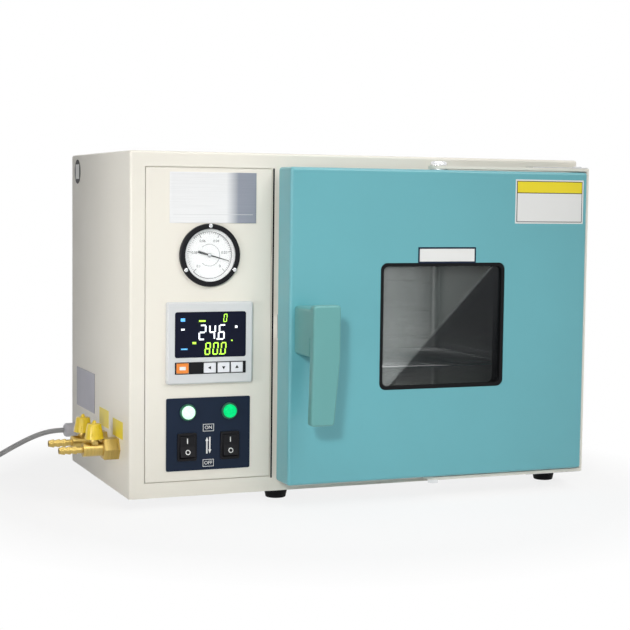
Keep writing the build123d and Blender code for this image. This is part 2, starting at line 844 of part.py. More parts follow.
def rocker_body_outline(gap):
    growth = 2 * (gap - rocker_frame_rim)
    return Rectangle(rocker_frame_width + growth, rocker_frame_tall + growth)


def lamp_bezels():
    """Clear-plated rings with a threaded barrel through the panel."""
    rings = []
    front = -switch_plate_thickness - lamp_ring_height
    for x in lamp_places():
        ring = from_front(Circle(lamp_ring_radius), x, lamp_z, front, -switch_plate_thickness)
        ring = fillet(ring.edges().group_by(Axis.Y)[0], lamp_ring_round)
        ring += from_front(Circle(lamp_body_radius), x, lamp_z, -switch_plate_thickness,
                           lamp_body_depth)
        nut = from_front(RegularPolygon(lamp_ring_radius + lamp_nut_rim, 6), x, lamp_z,
                         panel_sheet, panel_sheet + lamp_nut_thickness)
        seat = from_front(Circle(lamp_lens_radius + fit), x, lamp_z, front - 1,
                          -switch_plate_thickness - lamp_seat)
        rings.append(ring + nut - seat)
    return rings


def lamp_lenses():
    """Domed lenses seated in their rings."""
    lenses = []
    back = -switch_plate_thickness - lamp_seat
    for x in lamp_places():
        lens = from_front(Circle(lamp_lens_radius), x, lamp_z, back - lamp_lens_height, back)
        lenses.append(fillet(lens.edges().group_by(Axis.Y)[0], lamp_lens_round))
    return lenses


def rocker_frames():
    """Snap-in switch bodies: a raised frame in front, terminals behind."""
    frames = []
    front = -switch_plate_thickness - rocker_frame_proud
    for x in rocker_places():
        outline = RectangleRounded(rocker_frame_width, rocker_frame_tall, rocker_frame_corner)
        frame = from_front(outline, x, rocker_z, front, -switch_plate_thickness)
        frame = fillet(frame.edges().group_by(Axis.Y)[0], rocker_frame_round)
        frame += from_front(rocker_body_outline(0), x, rocker_z, -switch_plate_thickness,
                            rocker_body_depth)
        well = RectangleRounded(rocker_width + 2 * soft_gap, rocker_tall + 2 * soft_gap, 1)
        frame -= from_front(well, x, rocker_z, front - 1, rocker_body_depth / 2)
        pin = from_left(Circle(rocker_pin_radius), rocker_pivot_y(), rocker_z,
                        x - rocker_width / 2 - 1, x + rocker_width / 2 + 1)
        frame += pin
        for middle in (rocker_z - terminal_offset, rocker_z + terminal_offset):
            frame += block(x - terminal_width / 2, x + terminal_width / 2, rocker_body_depth,
                           rocker_body_depth + terminal_length,
                           middle - terminal_thickness / 2, middle + terminal_thickness / 2)
        frames.append(frame)
    return frames


def rocker_pivot_y():
    return -switch_plate_thickness - rocker_frame_proud + rocker_pin_depth


def rocker(x):
    """Rocker with a shallow valley face, tilted to its upper half pressed."""
    half = rocker_tall / 2
    face = make_face(Polyline((-rocker_crest, half), (-rocker_valley, 0),
                              (-rocker_crest, -half), (rocker_underside, -half),
                              (rocker_underside, half), (-rocker_crest, half)))
    side = Rot(0, 0, -rocker_tilt) * (face & Circle(half))
    plane = Plane(origin=(x + rocker_width / 2, rocker_pivot_y(), rocker_z),
                  x_dir=(0, 1, 0), z_dir=(1, 0, 0))
    body = extrude(plane * side, amount=-rocker_width)
    return body - from_left(Circle(rocker_pin_radius + running), rocker_pivot_y(), rocker_z,
                            x - rocker_width, x + rocker_width)


# ---------------------------------------------------------------- chamber
def chamber_outline(growth):
    return RectangleRounded(chamber_width + 2 * growth, chamber_height + 2 * growth,
                            chamber_corner + growth)


def tube_ports():
    """Where the three tubes enter the chamber's left wall: y, z."""
    ports = {"gauge": (gauge_port_y, gauge_z)}
    for name, (behind, above) in valve_ports.items():
        ports[name] = (valve_places[name] + behind, valve_z + above)
    return ports


def vacuum_chamber():
    """Welded stainless box with a front flange, two stiffening ribs and tube ports."""
    body = from_front(chamber_outline(chamber_wall), centre_x, centre_z,
                      flange_front, chamber_back)
    body = fillet(body.edges().group_by(Axis.Y)[-1], chamber_corner / 2 + chamber_wall)
    cavity = from_front(chamber_outline(0), centre_x, centre_z, flange_front - 1, chamber_depth)
    cavity = fillet(cavity.edges().group_by(Axis.Y)[-1], chamber_corner / 2)
    flange = RectangleRounded(chamber_outer_width + 2 * chamber_flange,
                              chamber_outer_height + 2 * chamber_flange,
                              chamber_flange_corner)
    body += from_front(flange, centre_x, centre_z, flange_front, -fit)
    for y in rib_places:
        body += from_front(chamber_outline(chamber_wall + rib_height), centre_x, centre_z,
                           y, y + rib_thickness)
    wall_x = centre_x - chamber_width / 2
    for y, z in tube_ports().values():
        body += from_left(Circle(port_radius + port_wall), y, z,
                          wall_x - chamber_wall - port_length, wall_x)
    body -= cavity
    for y, z in tube_ports().values():
        body -= from_left(Circle(tube_radius + running), y, z,
                          wall_x - chamber_wall - port_length - 1, wall_x + 1)
    return body - from_left(Circle(probe_radius + running), probe_y, centre_z + probe_rise,
                            wall_x - 2 * chamber_wall, wall_x + 1)


def chamber_gasket():
    outer = RectangleRounded(gasket_outer_width, gasket_outer_height,
                             chamber_corner + gasket_inset + gasket_width)
    inner = RectangleRounded(gasket_inner_width, gasket_inner_height,
                             chamber_corner + gasket_inset)
    ring = ring_from_front(outer, inner, centre_x, centre_z, gasket_front, flange_front)
    return fillet(ring.edges().group_by(Axis.Y)[0], gasket_round)


def temperature_probe():
    z = centre_z + probe_rise
    wall_x = centre_x - chamber_width / 2
    rod = from_left(Circle(probe_radius), probe_y, z, divider_x - probe_tail,
                    wall_x + probe_length)
    collar = from_left(Circle(probe_collar_radius), probe_y, z,
                       wall_x - chamber_wall - probe_collar_length, wall_x - chamber_wall)
    return rod + collar


def heater_mats():
    """Silicone heating mats on the top, bottom, right and back of the chamber."""
    half_w = chamber_outer_width / 2
    half_h = chamber_outer_height / 2
    long_x = half_w - mat_margin
    long_z = half_h - mat_margin
    y0 = rib_places[0] + rib_thickness + mat_rib_gap
    y1 = rib_places[1] - mat_rib_gap
    back = chamber_back
    return [
        block(centre_x - long_x, centre_x + long_x, y0, y1,
              centre_z + half_h, centre_z + half_h + mat_thickness),
        block(centre_x - long_x, centre_x + long_x, y0, y1,
              centre_z - half_h - mat_thickness, centre_z - half_h),
        block(centre_x + half_w, centre_x + half_w + mat_thickness, y0, y1,
              centre_z - long_z, centre_z + long_z),
        block(centre_x - long_x, centre_x + long_x, back, back + mat_thickness,
              centre_z - long_z, centre_z + long_z),
    ]


def insulation_blanket():
    """Mineral wool jacket round the chamber, open at its front."""
    front, back = sheet + blanket_front_gap, chamber_back + mat_thickness + blanket_gap
    outer = RectangleRounded(blanket_inner_width + 2 * blanket_thickness,
                             blanket_inner_height + 2 * blanket_thickness, blanket_corner)
    inner = RectangleRounded(blanket_inner_width, blanket_inner_height,
                             blanket_corner - blanket_thickness / 2)
    jacket = from_front(outer, centre_x, centre_z, front, back + blanket_thickness)
    jacket -= from_front(inner, centre_x, centre_z, front - 1, back)
    left = centre_x - blanket_inner_width / 2 - blanket_thickness
    for y, z in tube_ports().values():
        jacket -= from_left(Circle(port_radius + port_wall + blanket_hole_gap), y, z, left - 1,
                            left + blanket_thickness + 2)
    probe_hole = from_left(Circle(probe_collar_radius + blanket_hole_gap), probe_y, centre_z + probe_rise,
                           left - 1, left + blanket_thickness + 2)
    return jacket - probe_hole


def shelf_rails():
    rails = []
    top = shelf_z - shelf_frame_radius - soft_gap
    front, back = shelf_front, shelf_back
    for side in (-1, 1):
        wall = centre_x + side * chamber_width / 2
        inner = wall - side * rail_width
        flat = block(min(wall, inner), max(wall, inner), front, back, top - rail_thickness, top)
        thick = wall - side * rail_thickness
        flat += block(min(wall, thick), max(wall, thick), front, back,
                      top - rail_thickness, top + rail_lip)
        rails.append(flat)
    return rails


def wire_shelf():
    """Chromed wire shelf: a heavier rim with eleven rods from side to side."""
    half = chamber_width / 2 - shelf_side_gap - shelf_frame_radius
    front = shelf_front + shelf_frame_radius
    back = shelf_back - shelf_frame_radius
    rim_path = Pos(centre_x, (front + back) / 2) * Plane.XY.offset(shelf_z) * \
        RectangleRounded(2 * half, back - front, shelf_corner).wire()
    start = rim_path @ 0
    section = Plane(origin=start, z_dir=rim_path % 0) * Circle(shelf_frame_radius)
    shelf = sweep(section, path=rim_path)
    pitch = (back - front) / (shelf_rods + 1)
    for index in range(shelf_rods):
        y = front + pitch * (index + 1)
        shelf += from_left(Circle(shelf_rod_radius), y, shelf_z + shelf_rod_rise,
                           centre_x - half, centre_x + half)
    for x in (centre_x - half / 3, centre_x + half / 3):
        shelf += from_front(Circle(shelf_rod_radius), x, shelf_z - shelf_runner_drop,
                            front, back)
    return shelf


# ---------------------------------------------------------------- door
def door_shell():
    """Folded steel pan with a window, pivot holes and an inward rim at the back."""
    shell = block(door_left, door_right, door_front_y, door_rim_y, door_bottom, door_top)
    uprights = edges_of(shell, Axis.Z, lambda c: c.Y < door_front_y + 1)
    levels = edges_of(shell, Axis.X, lambda c: c.Y < door_front_y + 1)
    corners = edges_of(shell, Axis.Y, lambda c: True)
    shell = fillet(uprights + levels + corners, door_bend)
    inner = block(door_left + door_sheet, door_right - door_sheet, shell_inner_front,
                  door_rim_y - door_sheet, door_bottom + door_sheet, door_top - door_sheet)
    shell -= fillet(edges_of(inner, Axis.Y, lambda c: True), door_bend - door_sheet)
    shell -= block(door_left + door_rim, door_right - door_rim, door_rim_y - 5, door_rim_y + 1,
                   door_bottom + door_rim, door_top - door_rim)
    shell -= block(door_left + door_sheet, door_left + door_rim + 1, door_rim_y - 2,
                   door_rim_y + 1, handle_axis_z - strike_tall, handle_axis_z + strike_tall)
    window = RectangleRounded(window_width, window_height, window_corner)
    shell -= from_front(window, centre_x, window_z, door_front_y - 1, shell_inner_front + 1)
    shell -= from_front(Circle(shaft_radius + bush_wall + fit), handle_x, handle_axis_z,
                        door_front_y - 1, shell_inner_front + 1)
    for low in (door_bottom - 1, door_top - door_sheet - 1):
        shell -= from_top(Circle(pivot_bolt_radius + fit), centre_x, pivot_y, low,
                          low + door_sheet + 2)
    return shell


def door_liner():
    """Inner sheet of the door, cut out for the glass, the latch and its strike."""
    inset = door_sheet + fit
    liner = block(door_left + inset, door_right - inset, liner_front, liner_back,
                  door_bottom + inset, door_top - inset)
    liner = fillet(edges_of(liner, Axis.Y, lambda c: True), door_bend)
    opening = RectangleRounded(glass_width + 2 * liner_clearance,
                               glass_height + 2 * liner_clearance, glass_corner)
    liner -= from_front(opening, centre_x, centre_z, liner_front - 1, liner_back + 1)
    return liner - block(door_left - 1, centre_x - glass_width / 2, liner_front - 1,
                         liner_back + 1, handle_axis_z - latch_pocket,
                         handle_axis_z + latch_pocket)


def window_trim():
    """Black sleeve from the door's face back to the glass, with a lip that holds the pane."""
    outer = RectangleRounded(window_width - 2 * fit, window_height - 2 * fit,
                             window_corner - fit)
    sight = RectangleRounded(window_width - 2 * trim_wall, window_height - 2 * trim_wall,
                             window_corner - trim_wall / 2)
    pane_room = RectangleRounded(window_width - 2 * (trim_wall - pane_lip),
                                 window_height - 2 * (trim_wall - pane_lip),
                                 window_corner - trim_wall / 4)
    front = door_front_y + trim_recess
    back = glass_front - soft_gap
    sleeve = from_front(outer, centre_x, window_z, front, back)
    flange = RectangleRounded(window_width + 2 * trim_flange_width,
                              window_height + 2 * trim_flange_width,
                              window_corner + trim_flange_width)
    sleeve += from_front(flange, centre_x, window_z, shell_inner_front,
                         shell_inner_front + trim_flange_thickness)
    sleeve -= from_front(sight, centre_x, window_z, front - 1, back + 1)
    return sleeve - from_front(pane_room, centre_x, window_z, front + pane_setback, back + 1)


def window_pane():
    front = door_front_y + trim_recess + pane_setback
    pane = RectangleRounded(window_width - 2 * (trim_wall - pane_lip) - 2 * fit,
                            window_height - 2 * (trim_wall - pane_lip) - 2 * fit,
                            window_corner - trim_wall / 4 - fit)
    return from_front(pane, centre_x, window_z, front, front + pane_thickness)


def door_glass():
    plate = from_front(RectangleRounded(glass_width, glass_height, glass_corner),
                       centre_x, centre_z, glass_front, glass_back)
    return chamfer(plate.edges().group_by(Axis.Y)[-1], glass_edge)


def glass_buffers():
    """Rubber buffers that let the glass settle on the gasket."""
    buffers = []
    for sx in (-1, 1):
        for sz in (-1, 1):
            x = centre_x + sx * (glass_width / 2 - buffer_inset)
            z = centre_z + sz * (glass_height / 2 - buffer_inset)
            buffers.append(from_front(Circle(buffer_radius), x, z,
                                      shell_inner_front, glass_front))
    return buffers


def glass_clips():
    """Angle clips that hold the glass's edges to the liner."""
    clips = []
    for sx in (-1, 1):
        for part in (-1, 1):
            edge = centre_x + sx * (glass_width / 2 + liner_clearance)
            z = centre_z + part * glass_height / 4
            outer = edge + sx * clip_reach
            inner = edge - sx * (liner_clearance + clip_lap)
            x0, x1 = min(inner, outer), max(inner, outer)
            low, high = z - clip_width / 2, z + clip_width / 2
            clip = block(x0, x1, glass_back, glass_back + liner_sheet, low, high)
            step_x0, step_x1 = min(edge, outer), max(edge, outer)
            clip += block(step_x0, step_x1, liner_back, glass_back + liner_sheet, low, high)
            clips.append(clip)
    return clips


def latch_bush():
    ring = Circle(shaft_radius + bush_wall) - Circle(shaft_radius + shaft_clearance)
    return from_front(ring, handle_x, handle_axis_z, door_front_y, liner_back)


def latch_shaft():
    """Shaft through the door with the latch cam at its inner end, cam upright."""
    shaft = from_front(Circle(shaft_radius), handle_x, handle_axis_z,
                       door_front_y - handle_door_gap - shaft_sink, cam_back)
    cam = Pos(0, (cam_reach - cam_heel) / 2) * SlotOverall(cam_reach + cam_heel, cam_width,
                                                           rotation=90)
    return shaft + from_front(cam, handle_x, handle_axis_z, cam_front, cam_back)


def handle_lever():
    """Cast lever: a deep root on the shaft and a broad flat blade standing off the door."""
    right = handle_left + handle_width
    root = block(handle_left, right, blade_back - 1, door_front_y - handle_door_gap,
                 handle_root_z, handle_root_z + handle_root_tall)
    root = fillet(edges_of(root, Axis.Y, lambda c: True), handle_round)
    root -= block(handle_left - 1, right + 1, blade_back - 2, blade_back + handle_slot,
                  handle_root_z - 1, handle_root_z + handle_slot_tall)
    blade_outline = make_face(Polyline(
        (0, 0), (handle_width, 0), (handle_width, -handle_taper_start),
        (handle_bottom_width - handle_bottom_shift, -handle_drop),
        (-handle_bottom_shift, -handle_drop), (0, -handle_taper_start), (0, 0)))
    blade = from_front(blade_outline, handle_left, handle_top, blade_front, blade_back)
    corners = [edge for edge in blade.edges().filter_by(Axis.Y)
               if abs(edge.center().Z - handle_top + handle_taper_start) > 1]
    blade = fillet(corners, handle_round)
    blade = fillet(blade.edges().group_by(Axis.Y)[0], handle_face_round)
    lever = root + blade
    bore = from_front(Circle(shaft_radius + running), handle_x, handle_axis_z,
                      door_front_y - handle_door_gap - shaft_sink, door_front_y + 1)
    return lever - bore


def latch_strike():
    """Bent keeper on the casing front; the cam turns in behind its lip."""
    left, low, high = strike_left, handle_axis_z - strike_tall / 2, handle_axis_z + strike_tall / 2
    keeper = block(left, strike_right, -strike_sheet, -fit, low, high)
    keeper += block(left, left + strike_sheet, strike_lip_front, -fit, low, high)
    keeper += block(left, strike_right, strike_lip_front, strike_lip_back, low, high)
    cam_room = strike_cam_gap + cam_thickness
    keeper -= block(left + strike_sheet, strike_right + 1, strike_lip_back,
                    strike_lip_back + cam_room, low - 1, high + 1)
    return fillet(edges_of(keeper, Axis.Z, lambda c: c.X < left + strike_sheet / 2), strike_round)


# ---------------------------------------------------------------- yoke and hinge
def yoke_limb(z0, z1):
    """Flat limb from the door's centre pivot to the hinge pin."""
    limb = block(centre_x, web_right, yoke_front, yoke_back, z0, z1)
    limb += from_top(Circle(yoke_width / 2), centre_x, pivot_y, z0, z1)
    limb += block(web_left - yoke_elbow, hinge_x, hinge_pin_y - ear_radius, hinge_pin_y, z0, z1)
    limb += from_top(Circle(ear_radius), hinge_x, hinge_pin_y, z0, z1)
    limb += block(web_left - yoke_elbow, hinge_x, yoke_back - yoke_elbow_depth, hinge_pin_y,
                  z0, z1)
    limb -= from_top(Circle(pin_radius + running), hinge_x, hinge_pin_y, z0 - 1, z1 + 1)
    return limb - from_top(Circle(pivot_bolt_radius + running), centre_x, pivot_y,
                           z0 - 1, z1 + 1)


def hinge_yoke():
    yoke = yoke_limb(yoke_top, yoke_top + yoke_thickness)
    yoke += yoke_limb(yoke_bottom - yoke_thickness, yoke_bottom)
    return yoke + block(web_left, web_right, yoke_front, yoke_back,
                        yoke_bottom - yoke_thickness, yoke_top + yoke_thickness)


def yoke_doublers():
    """Steel strips that stiffen the limbs near the hinge."""
    strips = []
    for z in (yoke_top + yoke_thickness, yoke_bottom - yoke_thickness - doubler_thickness):
        strips.append(block(web_right - doubler_length, web_right, yoke_front + doubler_inset,
                            yoke_back - doubler_inset, z, z + doubler_thickness))
    return strips


def bracket_ear_tops():
    """Upper face of each hinge ear: the yoke's limbs ride on them."""
    return (yoke_top - soft_gap, yoke_bottom - yoke_thickness - soft_gap)


def hinge_brackets():
    brackets = []
    for top in bracket_ear_tops():
        low = top - ear_thickness
        ear = from_top(Circle(ear_radius), hinge_x, hinge_pin_y, low, top)
        ear += block(hinge_x - ear_radius, hinge_x + ear_radius, hinge_pin_y, -fit, low, top)
        leg_low = low - bracket_leg if low > centre_z else low
        leg_low = max(leg_low, base_z + 1)
        leg_high = top if low > centre_z else top + bracket_leg
        leg = block(hinge_x - ear_radius, hinge_x + ear_radius, -bracket_sheet, -fit,
                    leg_low, leg_high)
        brackets.append(ear + leg - from_top(Circle(pin_radius + press), hinge_x, hinge_pin_y,
                                             low - 1, top + 1))
    return brackets


def hinge_pins():
    pins = []
    for top in bracket_ear_tops():
        low = top - ear_thickness
        limb_top = top + soft_gap + yoke_thickness
        pin = from_top(Circle(pin_radius), hinge_x, hinge_pin_y, low, limb_top + soft_gap)
        head = from_top(Circle(pin_head_radius), hinge_x, hinge_pin_y, limb_top + soft_gap,
                        limb_top + soft_gap + pin_head_height)
        pins.append(pin + fillet(head.edges().group_by(Axis.Z)[-1], 1.0))
    return pins


def pivot_bolts():
    """Shouldered bolts that carry the door at the middle of its top and bottom edges."""
    head_low = yoke_top + yoke_thickness + soft_gap
    top = from_top(Circle(pivot_bolt_radius), centre_x, pivot_y, door_top - pivot_reach,
                   head_low)
    dome = from_top(Circle(pivot_head_radius), centre_x, pivot_y, head_low,
                    head_low + pivot_head_height)
    top += fillet(dome.edges().group_by(Axis.Z)[-1], pivot_head_round)
    head_high = yoke_bottom - yoke_thickness - soft_gap
    low = from_top(Circle(pivot_bolt_radius), centre_x, pivot_y, head_high,
                   door_bottom + pivot_reach)
    low += from_top(RegularPolygon(pivot_nut_radius, 6), centre_x, pivot_y,
                    head_high - pivot_nut_height, head_high)
    return [top, low]


def pivot_washers():
    ring = Circle(pivot_washer_radius) - Circle(pivot_bolt_radius + fit)
    thick = yoke_door_gap - soft_gap
    return [from_top(ring, centre_x, pivot_y, door_top, door_top + thick),
            from_top(ring, centre_x, pivot_y, door_bottom - thick, door_bottom)]


def pivot_blocks():
    """Threaded blocks inside the door shell."""
    half = pivot_block_size / 2
    depth = pivot_block_depth / 2
    blocks = []
    for low in (door_top - door_sheet - pivot_block_tall, door_bottom + door_sheet):
        piece = block(centre_x - half, centre_x + half, pivot_y - depth, pivot_y + depth,
                      low, low + pivot_block_tall)
        blocks.append(piece - from_top(Circle(pivot_bolt_radius + press), centre_x, pivot_y,
                                       low - 1, low + pivot_block_tall + 1))
    return blocks


# ---------------------------------------------------------------- valves
def valve_bodies():
    return [valve_body(y) for y in valve_places.values()]


def valve_body(y):
    """Brass needle valve: hex flange at the wall, round body, barbed hose tail, bonnet."""
    flange_end = -valve_flange_length
    body_end = flange_end - valve_body_length
    hexagon = RegularPolygon(valve_flange_flats / 2, 6, major_radius=False)
    body = from_left(hexagon, y, valve_z, flange_end, 0)
    body = chamfer(body.edges().group_by(Axis.X)[0], valve_flange_edge)
    body += from_left(Circle(valve_body_radius), y, valve_z, body_end, flange_end)
    body += from_left(Circle(barb_core_radius), y, valve_z, barb_tip, body_end)
    pitch = barb_length / (barb_rings + 1)
    for index in range(barb_rings):
        x = barb_tip + barb_land + pitch * index
        cone = Plane(origin=(x, y, valve_z), z_dir=(1, 0, 0)) * Cone(
            barb_core_radius, barb_radius, barb_cone,
            align=(Align.CENTER,) * 2 + (Align.MIN,))
        land = from_left(Circle(barb_radius), y, valve_z, x + barb_cone,
                         x + barb_cone + barb_land)
        body += cone + land
    top = valve_z + valve_body_radius
    body += from_top(RegularPolygon(bonnet_radius + bonnet_nut_rim, 6), knob_x, y, valve_z,
                     top + bonnet_nut_rise)
    body += from_top(Circle(bonnet_radius), knob_x, y, valve_z, top + bonnet_height)
    stem_top = knob_bottom() + stem_engagement
    body += from_top(Circle(stem_radius), knob_x, y, valve_z, stem_top)
    body += from_left(Circle(valve_thread_radius), y, valve_z, 0, valve_thread_length)
    return body - from_left(Circle(barb_bore), y, valve_z, barb_tip - 1, valve_thread_length + 1)


def knob_bottom():
    return valve_z + valve_body_radius + bonnet_height + knob_gap


def valve_knob(y):
    """Fluted, tapered knob with a small cap over its screw."""
    low = knob_bottom()
    knob = Pos(knob_x, y, low) * Cone(knob_base_radius, knob_top_radius, knob_height,
                                      align=(Align.CENTER,) * 2 + (Align.MIN,))
    knob = fillet(knob.edges().group_by(Axis.Z)[-1], knob_round)
    for index in range(knob_flutes):
        angle = 2 * math.pi * index / knob_flutes
        x = knob_x + (knob_base_radius + knob_flute_out) * math.cos(angle)
        flute_y = y + (knob_base_radius + knob_flute_out) * math.sin(angle)
        knob -= from_top(Circle(knob_flute_radius), x, flute_y, low + knob_flute_start,
                         low + knob_height + 1)
    knob += Pos(knob_x, y, low + knob_height) * Cone(
        knob_cap_radius, knob_cap_top_radius, knob_cap_height,
        align=(Align.CENTER,) * 2 + (Align.MIN,))
    hole = from_top(Circle(stem_radius + running), knob_x, y, low - 1,
                    low + stem_engagement + soft_gap)
    return knob - hole


def valve_nuts():
    """Lock nuts inside the casing wall."""
    nuts = []
    for y in valve_places.values():
        nut = from_left(RegularPolygon(valve_nut_flats / 2, 6, major_radius=False), y, valve_z,
                        sheet, sheet + valve_nut_length)
        nuts.append(nut - from_left(Circle(valve_thread_radius + press), y, valve_z, -1,
                                    sheet + valve_nut_length + 1))
    return nuts


def vacuum_tubes():
    """Copper tubes: pump and vent valves to the chamber, and the gauge's line."""
    port_x = centre_x - chamber_width / 2 - chamber_wall
    ports = tube_ports()
    tubes = []
    for name, y in valve_places.items():
        port_y, port_z = ports[name]
        level, risen = tube_bend_x
        points = [(valve_thread_length, y, valve_z), (level, y, valve_z),
                  (risen, port_y, port_z), (port_x, port_y, port_z)]
        tubes.append(tube_along(points, [tube_bend_radius] * 2, tube_radius))
    port_y, port_z = ports["gauge"]
    start_y = gauge_case_depth + gauge_stem_length
    points = [(gauge_x, start_y, gauge_z), (gauge_x, port_y, gauge_z),
              (port_x, port_y, port_z)]
    tubes.append(tube_along(points, [gauge_tube_bend_radius], tube_radius))
    return tubes


# ---------------------------------------------------------------- mains lead
def cord_gland():
    """Nylon gland on the left wall near the back: hex base and domed compression nut."""
    base = from_left(RegularPolygon(gland_radius, 6), gland_y, gland_z,
                     -gland_base_length, 0)
    nut = from_left(Circle(gland_nut_radius), gland_y, gland_z,
                    gland_tip_x(), -gland_base_length)
    nut = fillet(nut.edges().group_by(Axis.X)[0], gland_dome_round)
    thread = from_left(Circle(gland_thread_radius), gland_y, gland_z, 0, gland_thread_length)
    locknut = from_left(RegularPolygon(gland_radius, 6), gland_y, gland_z,
                        sheet, sheet + gland_base_length)
    return base + nut + thread + locknut


def gland_tip_x():
    return -gland_base_length - gland_nut_length


def lead_points():
    """The lead leaves the gland square and then droops to the bench."""
    tip = (gland_tip_x(), gland_y, gland_z)
    square = (gland_tip_x() - lead_start_run, gland_y, gland_z)
    return [tip, square] + [(x, gland_y + y, z) for x, y, z in lead_drop_points]


def mains_lead():
    points = lead_points()
    radii = largest_radii(points)
    print("mains lead arc radii:", [round(radius) for radius in radii])
    tube = tube_along(points, radii, cord_diameter / 2)
    length = tube.volume / (math.pi * (cord_diameter / 2) ** 2)
    print("mains lead tube length:", round(length, 1))
    return tube


def coil_centre():
    """The coil lies behind the lead's end, so that the lead runs into its outer turn."""
    end, before = Vector(*lead_points()[-1]), Vector(*lead_points()[-2])
    along = Vector(end.X - before.X, end.Y - before.Y, 0).normalized()
    return end.X + along.Y * outer_turn_radius, end.Y - along.X * outer_turn_radius


def lead_coil():
    """Outer form of the coiled remainder of the lead."""
    x, y = coil_centre()
    outer = Circle(coil_turn_diameter / 2 + coil_width / 2)
    inner = Circle(coil_turn_diameter / 2 - coil_width / 2)
    ring = from_top(outer - inner, x, y, bench_gap, bench_gap + coil_height)
    return fillet(ring.edges(), coil_round)


def mains_plug():
    """Moulded three-blade plug beside the coil, where the lead leaves its outer turn."""
    centre, y = coil_centre()
    x = centre - outer_turn_radius
    back, front = y + plug_start, y + plug_start + plug_length
    middle_z = bench_gap + plug_tall / 2
    body = block(x - plug_width / 2, x + plug_width / 2, back, front,
                 bench_gap, bench_gap + plug_tall)
    body = fillet(edges_of(body, Axis.Y, lambda c: True), plug_edge_round)
    body = fillet(body.edges().group_by(Axis.Y)[0], plug_round)
    neck = from_front(Circle(plug_neck_radius), x, middle_z, y + plug_neck_start, back + 1)
    plug = body + neck
    for side in (-1, 0, 1):
        blade = Rot(0, 0, side * blade_turn) * Rectangle(blade_thickness, blade_width)
        blade_z = middle_z - blade_drop if side else middle_z + blade_rise
        plug += from_front(blade, x + side * blade_spread, blade_z, front - 1,
                           front + blade_length)
    return plug


# ---------------------------------------------------------------- export
def build():
    rocker_left, rocker_right = rocker_places()
    nodes = {
        "casing_shell": casing_shell(),
        "base_pan": base_pan(),
        "rear_cover": rear_cover(),
        "casing_screws": cover_screws() + foot_screws(),
        "divider_wall": divider_wall(),
        "feet": feet(),
        "control_panel": control_panel(),
        "gauge_case": gauge_case(),
        "gauge_flange": gauge_flange(),
        "gauge_dial": gauge_dial(),
        "gauge_pointer": gauge_pointer(),
        "gauge_glass": gauge_glass(),
        "gauge_screws": gauge_screws(),
        "controller_bezel": controller_bezel(),
        "controller_body": controller_body(),
        "display_window": display_window(),
        "switch_plate": switch_plate(),
        "lamp_bezels": lamp_bezels(),
        "lamp_lenses": lamp_lenses(),
        "rocker_frames": rocker_frames(),
        "rocker_left": rocker(rocker_left),
        "rocker_right": rocker(rocker_right),
        "vacuum_chamber": vacuum_chamber(),
        "chamber_gasket": chamber_gasket(),
        "temperature_probe": temperature_probe(),
        "heater_mats": heater_mats(),
        "insulation_blanket": insulation_blanket(),
        "shelf_rails": shelf_rails(),
        "wire_shelf": wire_shelf(),
        "door_shell": door_shell(),
        "door_liner": door_liner(),
        "window_trim": window_trim(),
        "window_pane": window_pane(),
        "door_glass": door_glass(),
        "glass_buffers": glass_buffers(),
        "glass_clips": glass_clips(),
        "latch_bush": latch_bush(),
        "latch_shaft": latch_shaft(),
        "handle_lever": handle_lever(),
        "latch_strike": latch_strike(),
        "hinge_yoke": hinge_yoke(),
        "yoke_doublers": yoke_doublers(),
        "hinge_brackets": hinge_brackets(),
        "hinge_pins": hinge_pins(),
        "pivot_bolts": pivot_bolts(),
        "pivot_washers": pivot_washers(),
        "pivot_blocks": pivot_blocks(),
        "valve_bodies": valve_bodies(),
        "valve_nuts": valve_nuts(),
        "vacuum_tubes": vacuum_tubes(),
        "cord_gland": cord_gland(),
        "mains_lead": mains_lead(),
        "lead_coil": lead_coil(),
        "mains_plug": mains_plug(),
    }
    for name, offset in key_offsets.items():
        nodes[name] = controller_key(offset)
    for name, y in valve_places.items():
        nodes[f"valve_knob_{name}"] = valve_knob(y)
    return nodes


def main():
    os.makedirs("parts", exist_ok=True)
    to_origin = Location((-origin_x, -origin_y, 0))
    for name, shape in build().items():
        solids = shape if isinstance(shape, list) else [shape]
        moved = [to_origin * solid for solid in solids]
        model = Compound(children=moved) if len(moved) > 1 else moved[0]
        export_step(model, f"parts/{name}.step")


if __name__ == "__main__":
    main()
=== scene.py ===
"""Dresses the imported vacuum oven: its paints, metals, glass and rubber, and the fine pieces
that the construction leaves out, such as dial marks, display digits, plates and the lead."""
import json
import math

import bmesh
import bpy
from mathutils import Matrix, Vector


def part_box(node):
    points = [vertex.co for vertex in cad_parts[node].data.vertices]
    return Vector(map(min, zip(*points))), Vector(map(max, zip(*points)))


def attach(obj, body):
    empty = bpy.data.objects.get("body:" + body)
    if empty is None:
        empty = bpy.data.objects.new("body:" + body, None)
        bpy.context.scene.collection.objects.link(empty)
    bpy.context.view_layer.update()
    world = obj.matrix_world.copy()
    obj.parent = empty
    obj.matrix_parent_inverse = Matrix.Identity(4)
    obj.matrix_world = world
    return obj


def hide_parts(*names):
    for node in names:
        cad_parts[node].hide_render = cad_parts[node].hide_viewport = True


bl_info = {
    "name": "Vacuum Oven Dressing",
    "version": (1, 0, 0),
    "blender": (4, 5, 0),
    "location": "View3D > Sidebar > Vacuum Oven",
    "description": "Adds the finishes and fine pieces of a bench-top vacuum oven",
    "category": "Object",
}

